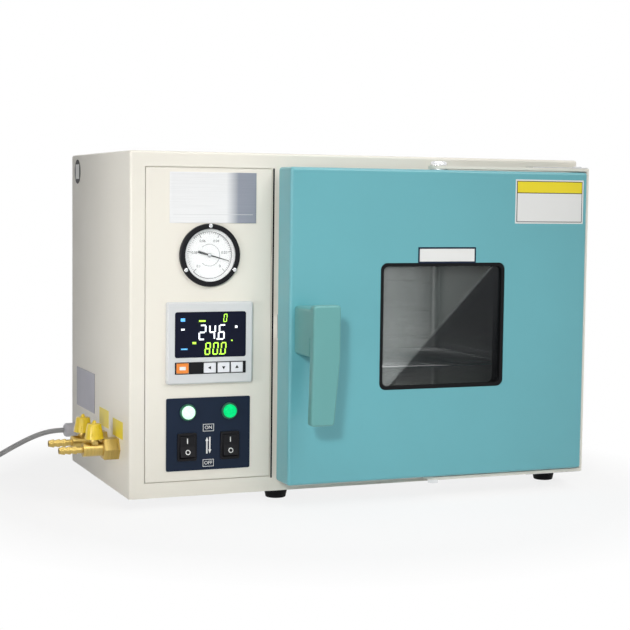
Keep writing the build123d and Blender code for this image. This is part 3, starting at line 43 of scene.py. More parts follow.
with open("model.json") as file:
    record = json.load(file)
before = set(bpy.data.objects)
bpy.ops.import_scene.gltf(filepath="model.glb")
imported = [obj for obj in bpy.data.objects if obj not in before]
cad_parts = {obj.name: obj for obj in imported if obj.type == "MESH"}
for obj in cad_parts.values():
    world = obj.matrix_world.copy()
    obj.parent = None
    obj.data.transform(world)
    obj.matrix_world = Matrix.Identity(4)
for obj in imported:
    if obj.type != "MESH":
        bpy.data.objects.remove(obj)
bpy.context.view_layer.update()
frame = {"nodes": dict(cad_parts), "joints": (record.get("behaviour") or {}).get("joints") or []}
MM = 0.001


# ---------------------------------------------------------------- places read from the frame
def low(node):
    return Vector(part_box(node)[0])


def high(node):
    return Vector(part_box(node)[1])


def middle(node):
    return (low(node) + high(node)) / 2


def span(node):
    return high(node) - low(node)


def joint_place(name):
    return Vector(next(j for j in frame["joints"] if j["name"] == name)["pos_m"])


CASING_LEFT = low("casing_shell").x
CASING_FRONT = low("casing_shell").y
CASING_BASE = low("casing_shell").z


def in_row(x, y, z):
    """A place counted in millimetres from the casing's front left corner and the bench."""
    return Vector((CASING_LEFT + x * MM, CASING_FRONT + y * MM, z * MM))


# ---------------------------------------------------------------- sizes and colours
class OvenFinish(bpy.types.PropertyGroup):
    """Colours of the large finishes."""
    cream: bpy.props.FloatVectorProperty(
        name="Casing paint", description="Cream powder coat of the casing", subtype="COLOR",
        size=3, min=0, max=1, default=(0.80, 0.765, 0.68))
    teal: bpy.props.FloatVectorProperty(
        name="Door paint", description="Teal enamel of the door", subtype="COLOR",
        size=3, min=0, max=1, default=(0.128, 0.414, 0.462))
    handle_green: bpy.props.FloatVectorProperty(
        name="Handle", description="Moulded green of the lever", subtype="COLOR",
        size=3, min=0, max=1, default=(0.13, 0.37, 0.36))
    navy: bpy.props.FloatVectorProperty(
        name="Switch panel", description="Dark blue of the switch panel", subtype="COLOR",
        size=3, min=0, max=1, default=(0.009, 0.018, 0.040))
    knob_yellow: bpy.props.FloatVectorProperty(
        name="Valve knobs", description="Yellow of the valve knobs and tags", subtype="COLOR",
        size=3, min=0, max=1, default=(0.84, 0.60, 0.015))


class OvenPlates(bpy.types.PropertyGroup):
    """Sizes of the bare plates and labels."""
    name_width: bpy.props.FloatProperty(
        name="Name plate width", description="Width of the bare plate over the gauge",
        default=113 * MM, unit="LENGTH")
    name_height: bpy.props.FloatProperty(
        name="Name plate height", description="Height of the bare plate over the gauge",
        default=63 * MM, unit="LENGTH")
    thickness: bpy.props.FloatProperty(
        name="Plate thickness", description="Thickness of the metal plates",
        default=0.8 * MM, unit="LENGTH")
    film: bpy.props.FloatProperty(
        name="Label thickness", description="Thickness of the printed films",
        default=0.25 * MM, unit="LENGTH")


class OvenLead(bpy.types.PropertyGroup):
    """The mains lead."""
    length: bpy.props.FloatProperty(
        name="Lead length", description="Length of the lead from gland to plug",
        default=1.5, unit="LENGTH")
    diameter: bpy.props.FloatProperty(
        name="Lead diameter", description="Outer diameter of the sheath",
        default=7 * MM, unit="LENGTH")


# ---------------------------------------------------------------- node trees
WHITE = (1.0, 1.0, 1.0, 1.0)
NOISE_BODY = (0.3, 0.7)         # where most values of a noise texture lie
MIX_INPUTS = (0, 6, 7)          # factor, first and second colour of a Mix node
MIX_RESULT = 2
SURFACE_INPUTS = [("Vector", "NodeSocketVector", None), ("Colour", "NodeSocketColor", WHITE)]
SURFACE_OUTPUTS = [("Colour", "NodeSocketColor"), ("Roughness", "NodeSocketFloat"),
                   ("Height", "NodeSocketFloat")]
GLOSS_SPREAD = 0.08             # how uneven the gloss of a coat is
COAT_ROUGHNESS = 0.12
COAT_RELIEF = 0.0003            # metres
METAL_RELIEF = 0.0002


def link(tree, source, target):
    tree.links.new(source, target)


def feed(tree, value, socket):
    """Sets a socket to a plain number or colour, or links another node's output to it."""
    if isinstance(value, (int, float, tuple)):
        socket.default_value = value
    else:
        link(tree, value, socket)


def set_plain(shader, **values):
    """Sets the shader's own sockets to plain values."""
    for socket, value in values.items():
        shader.inputs[socket.replace("_", " ")].default_value = value


def new_group(name, inputs, outputs):
    """An empty shader node group with named sockets, and its two end nodes."""
    group = bpy.data.node_groups.new(name, "ShaderNodeTree")
    for socket, kind, default in inputs:
        made = group.interface.new_socket(socket, in_out="INPUT", socket_type=kind)
        if default is not None:
            made.default_value = default
    for socket, kind in outputs:
        group.interface.new_socket(socket, in_out="OUTPUT", socket_type=kind)
    start = group.nodes.new("NodeGroupInput")
    end = group.nodes.new("NodeGroupOutput")
    return group, start.outputs, end.inputs


def noise(tree, vector, scale, detail=3.0, rough=0.5):
    node = tree.nodes.new("ShaderNodeTexNoise")
    for socket, value in (("Vector", vector), ("Scale", scale), ("Detail", detail),
                          ("Roughness", rough)):
        feed(tree, value, node.inputs[socket])
    return node.outputs["Fac"]


def remap(tree, value, from_low, from_high, to_low, to_high):
    node = tree.nodes.new("ShaderNodeMapRange")
    for socket, amount in (("Value", value), ("From Min", from_low), ("From Max", from_high),
                           ("To Min", to_low), ("To Max", to_high)):
        feed(tree, amount, node.inputs[socket])
    return node.outputs["Result"]


def arithmetic(tree, operation, first, second):
    node = tree.nodes.new("ShaderNodeMath")
    node.operation = operation
    feed(tree, first, node.inputs[0])
    feed(tree, second, node.inputs[1])
    return node.outputs[0]


def mix_colours(tree, mode, factor, first, second):
    node = tree.nodes.new("ShaderNodeMix")
    node.data_type = "RGBA"
    node.blend_type = mode
    for index, value in zip(MIX_INPUTS, (factor, first, second)):
        feed(tree, value, node.inputs[index])
    return node.outputs[MIX_RESULT]


def grey(tree, tone):
    """A neutral colour as light as the tone."""
    node = tree.nodes.new("ShaderNodeCombineColor")
    for channel in ("Red", "Green", "Blue"):
        link(tree, tone, node.inputs[channel])
    return node.outputs["Color"]


def toned(tree, colour, tone):
    """The colour, darkened by the tone."""
    return mix_colours(tree, "MULTIPLY", 1.0, colour, grey(tree, tone))


def axes(tree, vector):
    """The vector's parts, by their axis."""
    node = tree.nodes.new("ShaderNodeSeparateXYZ")
    link(tree, vector, node.inputs["Vector"])
    return node.outputs


def coat_grain_group():
    """Sprayed or moulded skin: fine orange peel, faint mottling and uneven gloss."""
    group, given, result = new_group(
        "Coat Grain",
        SURFACE_INPUTS + [("Mottle", "NodeSocketFloat", 0.05),
                          ("Grain Scale", "NodeSocketFloat", 900.0),
                          ("Roughness", "NodeSocketFloat", 0.4),
                          ("Gloss Spread", "NodeSocketFloat", 0.06)],
        SURFACE_OUTPUTS)
    broad = noise(group, given["Vector"], 7.0, 4.0)
    fine = noise(group, given["Vector"], given["Grain Scale"], 2.0)
    darker = arithmetic(group, "SUBTRACT", 1.0, given["Mottle"])
    tone = remap(group, broad, *NOISE_BODY, darker, 1.0)
    half = arithmetic(group, "MULTIPLY", given["Gloss Spread"], 0.5)
    lower = arithmetic(group, "SUBTRACT", given["Roughness"], half)
    upper = arithmetic(group, "ADD", given["Roughness"], half)
    smudge = noise(group, given["Vector"], 23.0, 5.0)
    link(group, toned(group, given["Colour"], tone), result["Colour"])
    link(group, remap(group, smudge, *NOISE_BODY, lower, upper), result["Roughness"])
    link(group, fine, result["Height"])
    return group


def brushed_group():
    """Brushed metal: long fine streaks along one axis, set by the stretch of the vector."""
    group, given, result = new_group(
        "Brushed Metal",
        SURFACE_INPUTS + [("Contrast", "NodeSocketFloat", 0.12),
                          ("Roughness", "NodeSocketFloat", 0.3)],
        SURFACE_OUTPUTS)
    streaks = noise(group, given["Vector"], 1.0, 6.0, 0.6)
    darker = arithmetic(group, "SUBTRACT", 1.0, given["Contrast"])
    tone = remap(group, streaks, 0.35, 0.65, darker, 1.0)
    higher = arithmetic(group, "ADD", given["Roughness"], given["Contrast"])
    link(group, toned(group, given["Colour"], tone), result["Colour"])
    link(group, remap(group, streaks, *NOISE_BODY, given["Roughness"], higher),
         result["Roughness"])
    link(group, streaks, result["Height"])
    return group


def dust_group():
    """A thin film of dust that gathers on upward faces, in soft patches."""
    group, given, result = new_group(
        "Settled Dust",
        SURFACE_INPUTS + [("Dust", "NodeSocketColor", (0.62, 0.60, 0.55, 1)),
                          ("Amount", "NodeSocketFloat", 0.15)],
        [("Colour", "NodeSocketColor")])
    normal = group.nodes.new("ShaderNodeNewGeometry").outputs["Normal"]
    upward = remap(group, axes(group, normal)["Z"], 0.2, 1.0, 0.0, 1.0)
    patches = remap(group, noise(group, given["Vector"], 40.0, 6.0), 0.35, 0.75, 0.0, 1.0)
    mask = arithmetic(group, "MULTIPLY", arithmetic(group, "MULTIPLY", upward, patches),
                      given["Amount"])
    link(group, mix_colours(group, "MIX", mask, given["Colour"], given["Dust"]),
         result["Colour"])
    return group


GROUP_MAKERS = {"grain": coat_grain_group, "brushed": brushed_group, "dust": dust_group}
GROUPS = {}


def place_group(tree, name, **values):
    """One of the shared groups, made when it is first asked for, with its values."""
    if name not in GROUPS:
        GROUPS[name] = GROUP_MAKERS[name]()
    node = tree.nodes.new("ShaderNodeGroup")
    node.node_tree = GROUPS[name]
    for socket, value in values.items():
        feed(tree, value, node.inputs[socket.replace("_", " ")])
    return node.outputs


def opaque(colour):
    return (*colour[:3], 1.0)


def bare_material(name):
    """A material with its Principled shader and an Object-space vector."""
    material = bpy.data.materials.new(name)
    material.use_nodes = True
    tree = material.node_tree
    shader = tree.nodes["Principled BSDF"]
    where = tree.nodes.new("ShaderNodeTexCoord").outputs["Object"]
    return material, tree, shader, where


def cover_with(tree, shader, colour, surface, strength, distance):
    """Colour, gloss and relief of a group's surface on the shader."""
    link(tree, colour, shader.inputs["Base Color"])
    link(tree, surface["Roughness"], shader.inputs["Roughness"])
    bump = tree.nodes.new("ShaderNodeBump")
    bump.inputs["Strength"].default_value = strength
    bump.inputs["Distance"].default_value = distance
    link(tree, surface["Height"], bump.inputs["Height"])
    link(tree, bump.outputs["Normal"], shader.inputs["Normal"])


def skin_material(name, colour, roughness, mottle, grain, peel, dust=0.0, coat=0.0,
                  specular=0.5):
    """Paint, enamel, plastic or rubber, by its grain, gloss and dust."""
    material, tree, shader, where = bare_material(name)
    surface = place_group(tree, "grain", Vector=where, Colour=opaque(colour), Mottle=mottle,
                          Grain_Scale=grain, Roughness=roughness, Gloss_Spread=GLOSS_SPREAD)
    seen = surface["Colour"]
    if dust:
        seen = place_group(tree, "dust", Vector=where, Colour=seen, Amount=dust)["Colour"]
    cover_with(tree, shader, seen, surface, peel, COAT_RELIEF)
    set_plain(shader, Coat_Weight=coat, Coat_Roughness=COAT_ROUGHNESS,
              Specular_IOR_Level=specular)
    return material


def brush(tree, shader, where, colour, roughness, contrast, stretch, peel):
    """Brushes the shader; stretch is the density of the streaks on each axis."""
    mapping = tree.nodes.new("ShaderNodeMapping")
    mapping.inputs["Scale"].default_value = stretch
    link(tree, where, mapping.inputs["Vector"])
    surface = place_group(tree, "brushed", Vector=mapping.outputs["Vector"], Colour=colour,
                          Contrast=contrast, Roughness=roughness)
    cover_with(tree, shader, surface["Colour"], surface, peel, METAL_RELIEF)


def metal_material(name, colour, roughness, contrast, stretch, peel=0.08):
    """Brushed or turned metal."""
    material, tree, shader, where = bare_material(name)
    brush(tree, shader, where, opaque(colour), roughness, contrast, stretch, peel)
    set_plain(shader, Metallic=1.0)
    return material


def name_plate_material():
    """Bright plate with fine brushing that turns bluish toward its right end."""
    material, tree, shader, where = bare_material("name_plate_metal")
    start = middle("switch_plate").x + 22 * MM
    right = remap(tree, axes(tree, where)["X"], start, start + 16 * MM, 0.0, 1.0)
    tint = mix_colours(tree, "MIX", right, (0.80, 0.80, 0.80, 1.0), (0.27, 0.29, 0.34, 1.0))
    brush(tree, shader, where, tint, 0.35, 0.08, (12.0, 900.0, 1100.0), 0.06)
    set_plain(shader, Metallic=0.25)
    return material


def thin_glass_material(name, colour, cover):
    """Thin clear glass: a faint veil with faint smears, see-through by its alpha."""
    material, tree, shader, where = bare_material(name)
    smears = noise(tree, where, 30.0, 6.0)
    link(tree, remap(tree, smears, 0.35, 0.75, 0.02, 0.07), shader.inputs["Roughness"])
    link(tree, mix_colours(tree, "MIX", remap(tree, smears, 0.3, 0.8, 0.0, 0.06),
                           opaque(colour), (0.8, 0.8, 0.8, 1.0)), shader.inputs["Base Color"])
    link(tree, remap(tree, smears, 0.3, 0.8, cover, cover + 0.02), shader.inputs["Alpha"])
    set_plain(shader, Specular_IOR_Level=0.2)
    return material


REFLECTION_SLOPE = 0.96              # run across of the painted reflections' edge, for one unit up
REFLECTION_EDGE = (-0.001, 0.002)    # metres over which the painted dark reflection sets in
DARK_REFLECTION_COVER = (0.12, 0.84)      # painted dark reflection's cover, at the pane's foot and at its head
PALE_REFLECTION_COVER = 0.44               # painted pale reflection's cover, at the pane's left side
PANE_COVER = 0.04               # of the bare pane


def window_material():
    """Clear pane with a painted pale reflection at its left and a painted dark reflection beyond
    a slanting edge.
    """
    material, tree, shader, where = bare_material("window_painted_reflections")
    place = axes(tree, where)
    centre, size = middle("window_pane"), span("window_pane")
    across = arithmetic(tree, "SUBTRACT", place["X"], centre.x)
    up = arithmetic(tree, "SUBTRACT", place["Z"], centre.z)
    slant = arithmetic(tree, "SUBTRACT", across, arithmetic(tree, "MULTIPLY", up, REFLECTION_SLOPE))
    # edge parts the painted pale reflection at the left from the painted dark reflection at the
    # right
    edge = remap(tree, slant, *REFLECTION_EDGE, 0.0, 1.0)
    # painted dark reflection, stronger toward the pane's head
    shade = arithmetic(tree, "MULTIPLY", edge,
                       remap(tree, up, -size.z / 2, size.z / 2, *DARK_REFLECTION_COVER))
    # painted pale reflection, fading out from the pane's left side
    veil = arithmetic(tree, "MULTIPLY", arithmetic(tree, "SUBTRACT", 1.0, edge),
                      remap(tree, across, -size.x / 2, size.x * -0.1, PALE_REFLECTION_COVER, 0.0))
    # smears make the painted pale reflection patchy
    smears = remap(tree, noise(tree, where, 18.0, 5.0), *NOISE_BODY, 0.7, 1.0)
    cover = arithmetic(tree, "ADD", shade, arithmetic(tree, "MULTIPLY", veil, smears))
    link(tree, arithmetic(tree, "ADD", cover, PANE_COVER), shader.inputs["Alpha"])
    # base colour: pale grey for the painted pale reflection, near black for the painted dark
    # reflection
    link(tree, mix_colours(tree, "MIX", edge, (0.40, 0.43, 0.42, 1.0),
                           (0.012, 0.014, 0.016, 1.0)), shader.inputs["Base Color"])
    set_plain(shader, Roughness=0.05, Specular_IOR_Level=0.2)
    return material


def glowing_material(name, colour, strength, base=None):
    """A lit display segment or lamp, slightly uneven as over a diffuser."""
    material, tree, shader, where = bare_material(name)
    uneven = remap(tree, noise(tree, where, 300.0, 2.0), *NOISE_BODY, 0.82, 1.0)
    link(tree, toned(tree, opaque(colour), uneven), shader.inputs["Emission Color"])
    link(tree, toned(tree, opaque(base or colour), uneven), shader.inputs["Base Color"])
    set_plain(shader, Emission_Strength=strength, Roughness=0.3, Specular_IOR_Level=0.1)
    return material


# ---------------------------------------------------------------- finishes of this oven
METALS = {                      # colour, roughness, contrast, streaks on each axis, relief
    "stainless": ((0.56, 0.56, 0.55), 0.26, 0.14, (14.0, 900.0, 900.0)),
    "zinc plate": ((0.58, 0.59, 0.60), 0.30, 0.16, (120.0, 120.0, 120.0)),
    "bright chrome": ((0.78, 0.79, 0.80), 0.08, 0.05, (60.0, 60.0, 60.0), 0.02),
    "turned brass": ((0.58, 0.42, 0.13), 0.24, 0.22, (900.0, 30.0, 30.0)),
    "drawn copper": ((0.72, 0.36, 0.20), 0.28, 0.18, (60.0, 400.0, 400.0)),
}
GLASSES = {                     # colour, cover
    "toughened glass": ((0.30, 0.36, 0.35), 0.10),
    "gauge lens": ((0.95, 0.97, 0.97), 0.05),
}
LIGHTS = {                      # glow, strength, colour of the lens itself
    "lit white lens": ((0.66, 0.94, 0.74), 1.0, (0.35, 0.60, 0.45)),
    "lit green lens": ((0.0, 0.72, 0.19), 1.0, (0.0, 0.22, 0.08)),
    "lit digits white": ((0.92, 0.94, 1.0), 1.0),
    "lit digits green": ((0.50, 0.95, 0.08), 1.0),
    "lit digits blue": ((0.12, 0.42, 0.85), 0.8),
}


def coats_and_mouldings(paint):
    """Colour, roughness, mottling, grain, its relief, dust, clear coat and specular level."""
    return {
        "cream powder coat": (paint.cream, 0.42, 0.035, 1300.0, 0.10, 0.05),
        "teal enamel": (paint.teal, 0.33, 0.05, 1100.0, 0.08, 0.05, 0.25),
        "handle green": (paint.handle_green, 0.40, 0.06, 1500.0, 0.16, 0.0, 0.1),
        "switch panel navy": (paint.navy, 0.40, 0.20, 1600.0, 0.10, 0.0, 0.0, 0.16),
        "black rubber": ((0.008, 0.008, 0.009), 0.62, 0.25, 1400.0, 0.25, 0.03, 0.0, 0.10),
        "black moulding": ((0.008, 0.008, 0.010), 0.38, 0.15, 1500.0, 0.12, 0.0, 0.0, 0.16),
        "silver moulding": ((0.64, 0.65, 0.65), 0.42, 0.05, 1800.0, 0.14),
        "key grey": ((0.80, 0.80, 0.83), 0.5, 0.05, 1800.0, 0.12),
        "key orange": ((0.86, 0.26, 0.04), 0.45, 0.05, 1800.0, 0.12),
        "valve yellow": (paint.knob_yellow, 0.28, 0.08, 1200.0, 0.08, 0.0, 0.35),
        "pale nylon": ((0.70, 0.69, 0.74), 0.34, 0.06, 1300.0, 0.10, 0.0, 0.2),
        "lead sheath": ((0.50, 0.50, 0.51), 0.45, 0.08, 1400.0, 0.12, 0.08),
        "pale silicone": ((0.62, 0.59, 0.54), 0.55, 0.10, 900.0, 0.15),
        "heater silicone": ((0.36, 0.07, 0.03), 0.6, 0.15, 700.0, 0.25),
        "mineral wool": ((0.60, 0.56, 0.44), 0.95, 0.45, 260.0, 1.0),
        "dial white": ((0.96, 0.96, 0.95), 0.45, 0.02, 1500.0, 0.05),
        "print black": ((0.008, 0.008, 0.010), 0.5, 0.1, 1500.0, 0.05, 0.0, 0.0, 0.15),
        "print grey": ((0.03, 0.03, 0.035), 0.5, 0.1, 1500.0, 0.05),
        "print white": ((0.80, 0.80, 0.78), 0.5, 0.04, 1500.0, 0.05),
        "plate yellow": ((0.86, 0.70, 0.02), 0.4, 0.06, 1500.0, 0.05),
        "plate lilac": ((0.37, 0.365, 0.43), 0.4, 0.08, 1500.0, 0.05),
        "smoked display": ((0.004, 0.006, 0.020), 0.20, 0.1, 1200.0, 0.01, 0.0, 0.0, 0.12),
        "lamp ring green": ((0.008, 0.12, 0.06), 0.35, 0.1, 1500.0, 0.08),
    }


def build_finishes(paint):
    """Every finish of the oven, by a maker's name."""
    made = {"window with painted reflections": window_material(), "name plate metal": name_plate_material()}
    for maker, table in ((skin_material, coats_and_mouldings(paint)),
                         (metal_material, METALS), (thin_glass_material, GLASSES),
                         (glowing_material, LIGHTS)):
        for finish, values in table.items():
            made[finish] = maker(finish.replace(" ", "_"), *values)
    return made


NODE_FINISHES = {
    "cream powder coat": ["casing_shell", "rear_cover", "control_panel", "hinge_yoke",
                          "hinge_brackets", "door_liner"],
    "teal enamel": ["door_shell"],
    "handle green": ["handle_lever"],
    "switch panel navy": ["switch_plate"],
    "black rubber": ["feet", "window_trim", "glass_buffers"],
    "black moulding": ["gauge_flange", "gauge_pointer", "controller_body", "rocker_frames",
                       "rocker_left", "rocker_right"],
    "silver moulding": ["controller_bezel"],
    "key grey": ["key_shift", "key_down", "key_up"],
    "key orange": ["key_set"],
    "valve yellow": ["valve_knob_vent", "valve_knob_pump"],
    "pale nylon": ["cord_gland"],
    "pale silicone": ["chamber_gasket"],
    "heater silicone": ["heater_mats"],
    "mineral wool": ["insulation_blanket"],
    "dial white": ["gauge_dial"],
    "stainless": ["vacuum_chamber", "shelf_rails", "temperature_probe"],
    "zinc plate": ["base_pan", "casing_screws", "divider_wall", "gauge_case", "glass_clips",
                   "latch_shaft", "latch_strike", "yoke_doublers", "hinge_pins",
                   "pivot_washers", "pivot_blocks"],
    "bright chrome": ["gauge_screws", "wire_shelf", "pivot_bolts"],
    "lamp ring green": ["lamp_bezels"],
    "turned brass": ["valve_bodies", "valve_nuts", "latch_bush"],
    "drawn copper": ["vacuum_tubes"],
    "window with painted reflections": ["window_pane"],
    "toughened glass": ["door_glass"],
    "gauge lens": ["gauge_glass"],
    "smoked display": ["display_window"],
    "lit green lens": ["lamp_lenses"],
}
FINISHES = {}


def set_finish(piece, finish):
    piece.data.materials.clear()
    piece.data.materials.append(FINISHES[finish])


def two_finishes(piece, left_finish, border_x):
    """Gives the solids of one node that lie left of border_x another finish."""
    piece.data.materials.append(FINISHES[left_finish])
    for face in piece.data.polygons:
        if (piece.matrix_world @ face.center).x < border_x:
            face.material_index = 1


# ---------------------------------------------------------------- modelling by hand
def deselect():
    if bpy.context.object and bpy.context.object.mode != "OBJECT":
        bpy.ops.object.mode_set(mode="OBJECT")
    bpy.ops.object.select_all(action="DESELECT")


def take(piece):
    """Makes piece the only selected and the active object."""
    deselect()
    piece.select_set(True)
    bpy.context.view_layer.objects.active = piece


OUT = Vector((0, 0, 1))         # out of a flat piece, before it is turned to its place
SAME_WAY = 0.9                  # least cosine between a face's normal and a direction
SHARP_ANGLE = math.radians(35)
PRINT = 0.08 * MM               # thickness of print on its plate


def pick_faces(piece, direction):
    """Enters edit mode with only the faces that look along direction selected."""
    take(piece)
    bpy.ops.object.mode_set(mode="EDIT")
    bpy.ops.mesh.select_mode(type="FACE")
    bpy.ops.mesh.select_all(action="DESELECT")
    mesh = bmesh.from_edit_mesh(piece.data)
    for face in mesh.faces:
        face.select = face.normal.dot(direction) > SAME_WAY
    mesh.select_flush_mode()
    bmesh.update_edit_mesh(piece.data)


def leave_edit():
    bpy.ops.object.mode_set(mode="OBJECT")


def inset_front(piece, border, shift=None):
    """Draws a field inside the border of the piece's front, moved by shift."""
    pick_faces(piece, OUT)
    bpy.ops.mesh.inset(thickness=border)
    if shift is not None:
        bpy.ops.transform.translate(value=shift)
    leave_edit()


def settle(piece):
    """Moves the object's place, turn and scale into its mesh."""
    take(piece)
    bpy.ops.object.transform_apply(location=True, rotation=True, scale=True)


def soften(piece, width, segments=2):
    """Rounds the sharp edges and shades the piece by its angles."""
    take(piece)
    bevel = piece.modifiers.new("softened edges", "BEVEL")
    bevel.width = width
    bevel.segments = segments
    bevel.limit_method = "ANGLE"
    bevel.angle_limit = SHARP_ANGLE
    bpy.ops.object.modifier_apply(modifier=bevel.name)
    bpy.ops.object.shade_smooth_by_angle(angle=SHARP_ANGLE)


def keep(piece, finish, body):
    """The finished piece: its place in its mesh, its finish, and the body that carries it."""
    settle(piece)
    set_finish(piece, finish)
    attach(piece, body)
    return piece


FRONT = Matrix.Rotation(math.radians(90), 4, "X")              # faces -Y
LEFT = Matrix.Rotation(math.radians(-90), 4, "Z") @ FRONT      # faces -X


def name_and_place(name, centre, facing=FRONT):
    """Names what was just added, puts it at centre and turns its front to facing."""
    piece = bpy.context.object
    piece.name = name
    piece.matrix_world = Matrix.Translation(centre) @ facing
    return piece


def flat_box(name, centre, width, height, thickness, facing=FRONT):
    """A rectangular slab whose face looks along facing; centre is the middle of its back."""
    deselect()
    bpy.ops.mesh.primitive_cube_add(size=1)
    piece = name_and_place(name, centre, facing)
    piece.data.transform(Matrix.Diagonal((width, height, thickness, 1)))
    piece.data.transform(Matrix.Translation((0, 0, thickness / 2)))
    return piece


def bordered_plate(name, centre, width, height, thickness, border, step, facing=FRONT):
    """A plate with a raised or sunk field inside its border."""
    piece = flat_box(name, centre, width, height, thickness, facing)
    inset_front(piece, border, facing.to_3x3() @ (OUT * step))
    return piece


def lettering(name, words, centre, height, finish):
    """Plain figures or a switch's ON or OFF, as thin print on the front."""
    deselect()
    bpy.ops.object.text_add()
    text = bpy.context.object.data
    text.body = words
    text.size = height
    text.extrude = PRINT / 2
    text.align_x = "CENTER"
    text.align_y = "CENTER"
    bpy.ops.object.convert(target="MESH")
    piece = name_and_place(name, centre)
    take(piece)
    bpy.ops.object.mode_set(mode="EDIT")
    bpy.ops.mesh.select_all(action="SELECT")
    bpy.ops.mesh.remove_doubles(threshold=0.000001)
    bpy.ops.mesh.normals_make_consistent(inside=False)
    leave_edit()
    keep(piece, finish, "oven")


def join(name, pieces):
    """Several like pieces made into one object."""
    deselect()
    for piece in pieces:
        piece.select_set(True)
    bpy.context.view_layer.objects.active = pieces[0]
    bpy.ops.object.join()
    pieces[0].name = name
    return pieces[0]


# ---------------------------------------------------------------- stage
CAMERA_PLACE = in_row(-493.8, -1812.0, 386.7)
CAMERA_YAW = 22.184             # degrees from +Y towards +X
CAMERA_PITCH = -4.324
CAMERA_ROLL = 0.687
CAMERA_LENS = 87.33             # millimetres on a 36 mm frame
WORLD_BRIGHT_SIDE = (0.50, -0.78, 0.38)
WORLD_LEVELS = (0.022, 0.115)    # strength away from and toward the bright side
KEY_WATTS = 112
EDGE_WATTS = 0.35
FRONT_WATTS = 27
TOP_WATTS = 22
FLOOR_SIZE = 12.0
FLOOR_FADE = (0.42, 0.56)       # metres from the oven's middle
FLOOR_WHITE = 0.80              # share of plain white in the floor close to the oven


def camera_axes():
    """Right, up and backward directions of the camera."""
    yaw, pitch, roll = (math.radians(a) for a in (CAMERA_YAW, CAMERA_PITCH, CAMERA_ROLL))
    forward = Vector((math.sin(yaw) * math.cos(pitch), math.cos(yaw) * math.cos(pitch),
                      math.sin(pitch)))
    right = Vector((math.cos(yaw), -math.sin(yaw), 0))
    up = right.cross(forward)
    turned_right = math.cos(roll) * right + math.sin(roll) * up
    turned_up = math.cos(roll) * up - math.sin(roll) * right
    return turned_right, turned_up, -forward


def add_camera():
    camera = bpy.data.objects.new("camera", bpy.data.cameras.new("camera"))
    bpy.context.scene.collection.objects.link(camera)
    camera.data.lens = CAMERA_LENS
    camera.data.sensor_fit = "HORIZONTAL"
    camera.data.sensor_width = 36
    camera.data.clip_end = 60
    right, up, back = camera_axes()
    turned = Matrix((right, up, back)).transposed().to_4x4()
    camera.matrix_world = Matrix.Translation(CAMERA_PLACE) @ turned
    bpy.context.scene.camera = camera


def new_light(name, kind, place, aim, watts):
    """A light at place that looks toward aim; gives back its settings."""
    light = bpy.data.objects.new(name, bpy.data.lights.new(name, kind))
    bpy.context.scene.collection.objects.link(light)
    light.data.energy = watts
    turn = (Vector(aim) - Vector(place)).to_track_quat("-Z", "Y").to_matrix().to_4x4()
    light.matrix_world = Matrix.Translation(place) @ turn
    return light.data


def add_soft_light(name, place, aim, size, watts, spread=180):
    light = new_light(name, "AREA", place, aim, watts)
    light.shape = "RECTANGLE"
    light.size, light.size_y = size
    light.spread = math.radians(spread)


def add_spot(name, place, aim, radius, watts, spread):
    """A soft spot whose light falls off from the middle of its beam to its rim."""
    light = new_light(name, "SPOT", place, aim, watts)
    light.shadow_soft_size = radius
    light.spot_size = math.radians(spread)
    light.spot_blend = 1.0


def seen_rays(tree):
    """1 for camera, glossy and glass rays, and 0 for the rays that light the oven."""
    path = tree.nodes.new("ShaderNodeLightPath").outputs
    seen = arithmetic(tree, "MAXIMUM", path["Is Camera Ray"], path["Is Transmission Ray"])
    return arithmetic(tree, "MAXIMUM", seen, path["Is Glossy Ray"])


def mix_shaders(tree, share, lit, plain):
    mixer = tree.nodes.new("ShaderNodeMixShader")
    for index, source in enumerate((share, lit.outputs[0], plain.outputs[0])):
        link(tree, source, mixer.inputs[index])
    return mixer.outputs[0]


def vector_value(tree, operation, vector, other=None):
    """The number that a vector operation gives."""
    node = tree.nodes.new("ShaderNodeVectorMath")
    node.operation = operation
    link(tree, vector, node.inputs[0])
    if other is not None:
        node.inputs[1].default_value = other
    return node.outputs["Value"]


def add_world():
    """Soft light from one side, and plain white wherever the eye meets the world."""
    world = bpy.data.worlds.new("studio")
    bpy.context.scene.world = world
    world.use_nodes = True
    tree = world.node_tree
    soft = tree.nodes["Background"]
    soft.inputs["Color"].default_value = (0.96, 0.98, 1.0, 1)
    toward = vector_value(tree, "DOT_PRODUCT",
                          tree.nodes.new("ShaderNodeTexCoord").outputs["Generated"],
                          WORLD_BRIGHT_SIDE)
    link(tree, remap(tree, toward, -0.6, 0.9, *WORLD_LEVELS), soft.inputs["Strength"])
    plain = tree.nodes.new("ShaderNodeBackground")
    plain.inputs["Color"].default_value = WHITE
    plain.inputs["Strength"].default_value = 1.0
    link(tree, mix_shaders(tree, seen_rays(tree), soft, plain),
         tree.nodes["World Output"].inputs["Surface"])


def add_floor():
    """A pale floor that fades to plain white, as the eye sees it, away from the oven."""
    deselect()
    bpy.ops.mesh.primitive_plane_add(size=FLOOR_SIZE)
    floor = bpy.context.object
    floor.name = "floor"
    material, tree, shader, where = bare_material("floor_white")
    faint = remap(tree, noise(tree, where, 1.5, 3.0), *NOISE_BODY, 0.90, 0.93)
    link(tree, grey(tree, faint), shader.inputs["Base Color"])
    set_plain(shader, Roughness=0.7)
    fade = remap(tree, vector_value(tree, "LENGTH", where), *FLOOR_FADE, FLOOR_WHITE, 1.0)
    white = tree.nodes.new("ShaderNodeEmission")
    white.inputs["Color"].default_value = WHITE
    share = arithmetic(tree, "MULTIPLY", seen_rays(tree), fade)
    link(tree, mix_shaders(tree, share, shader, white),
         tree.nodes["Material Output"].inputs["Surface"])
    floor.data.materials.append(material)


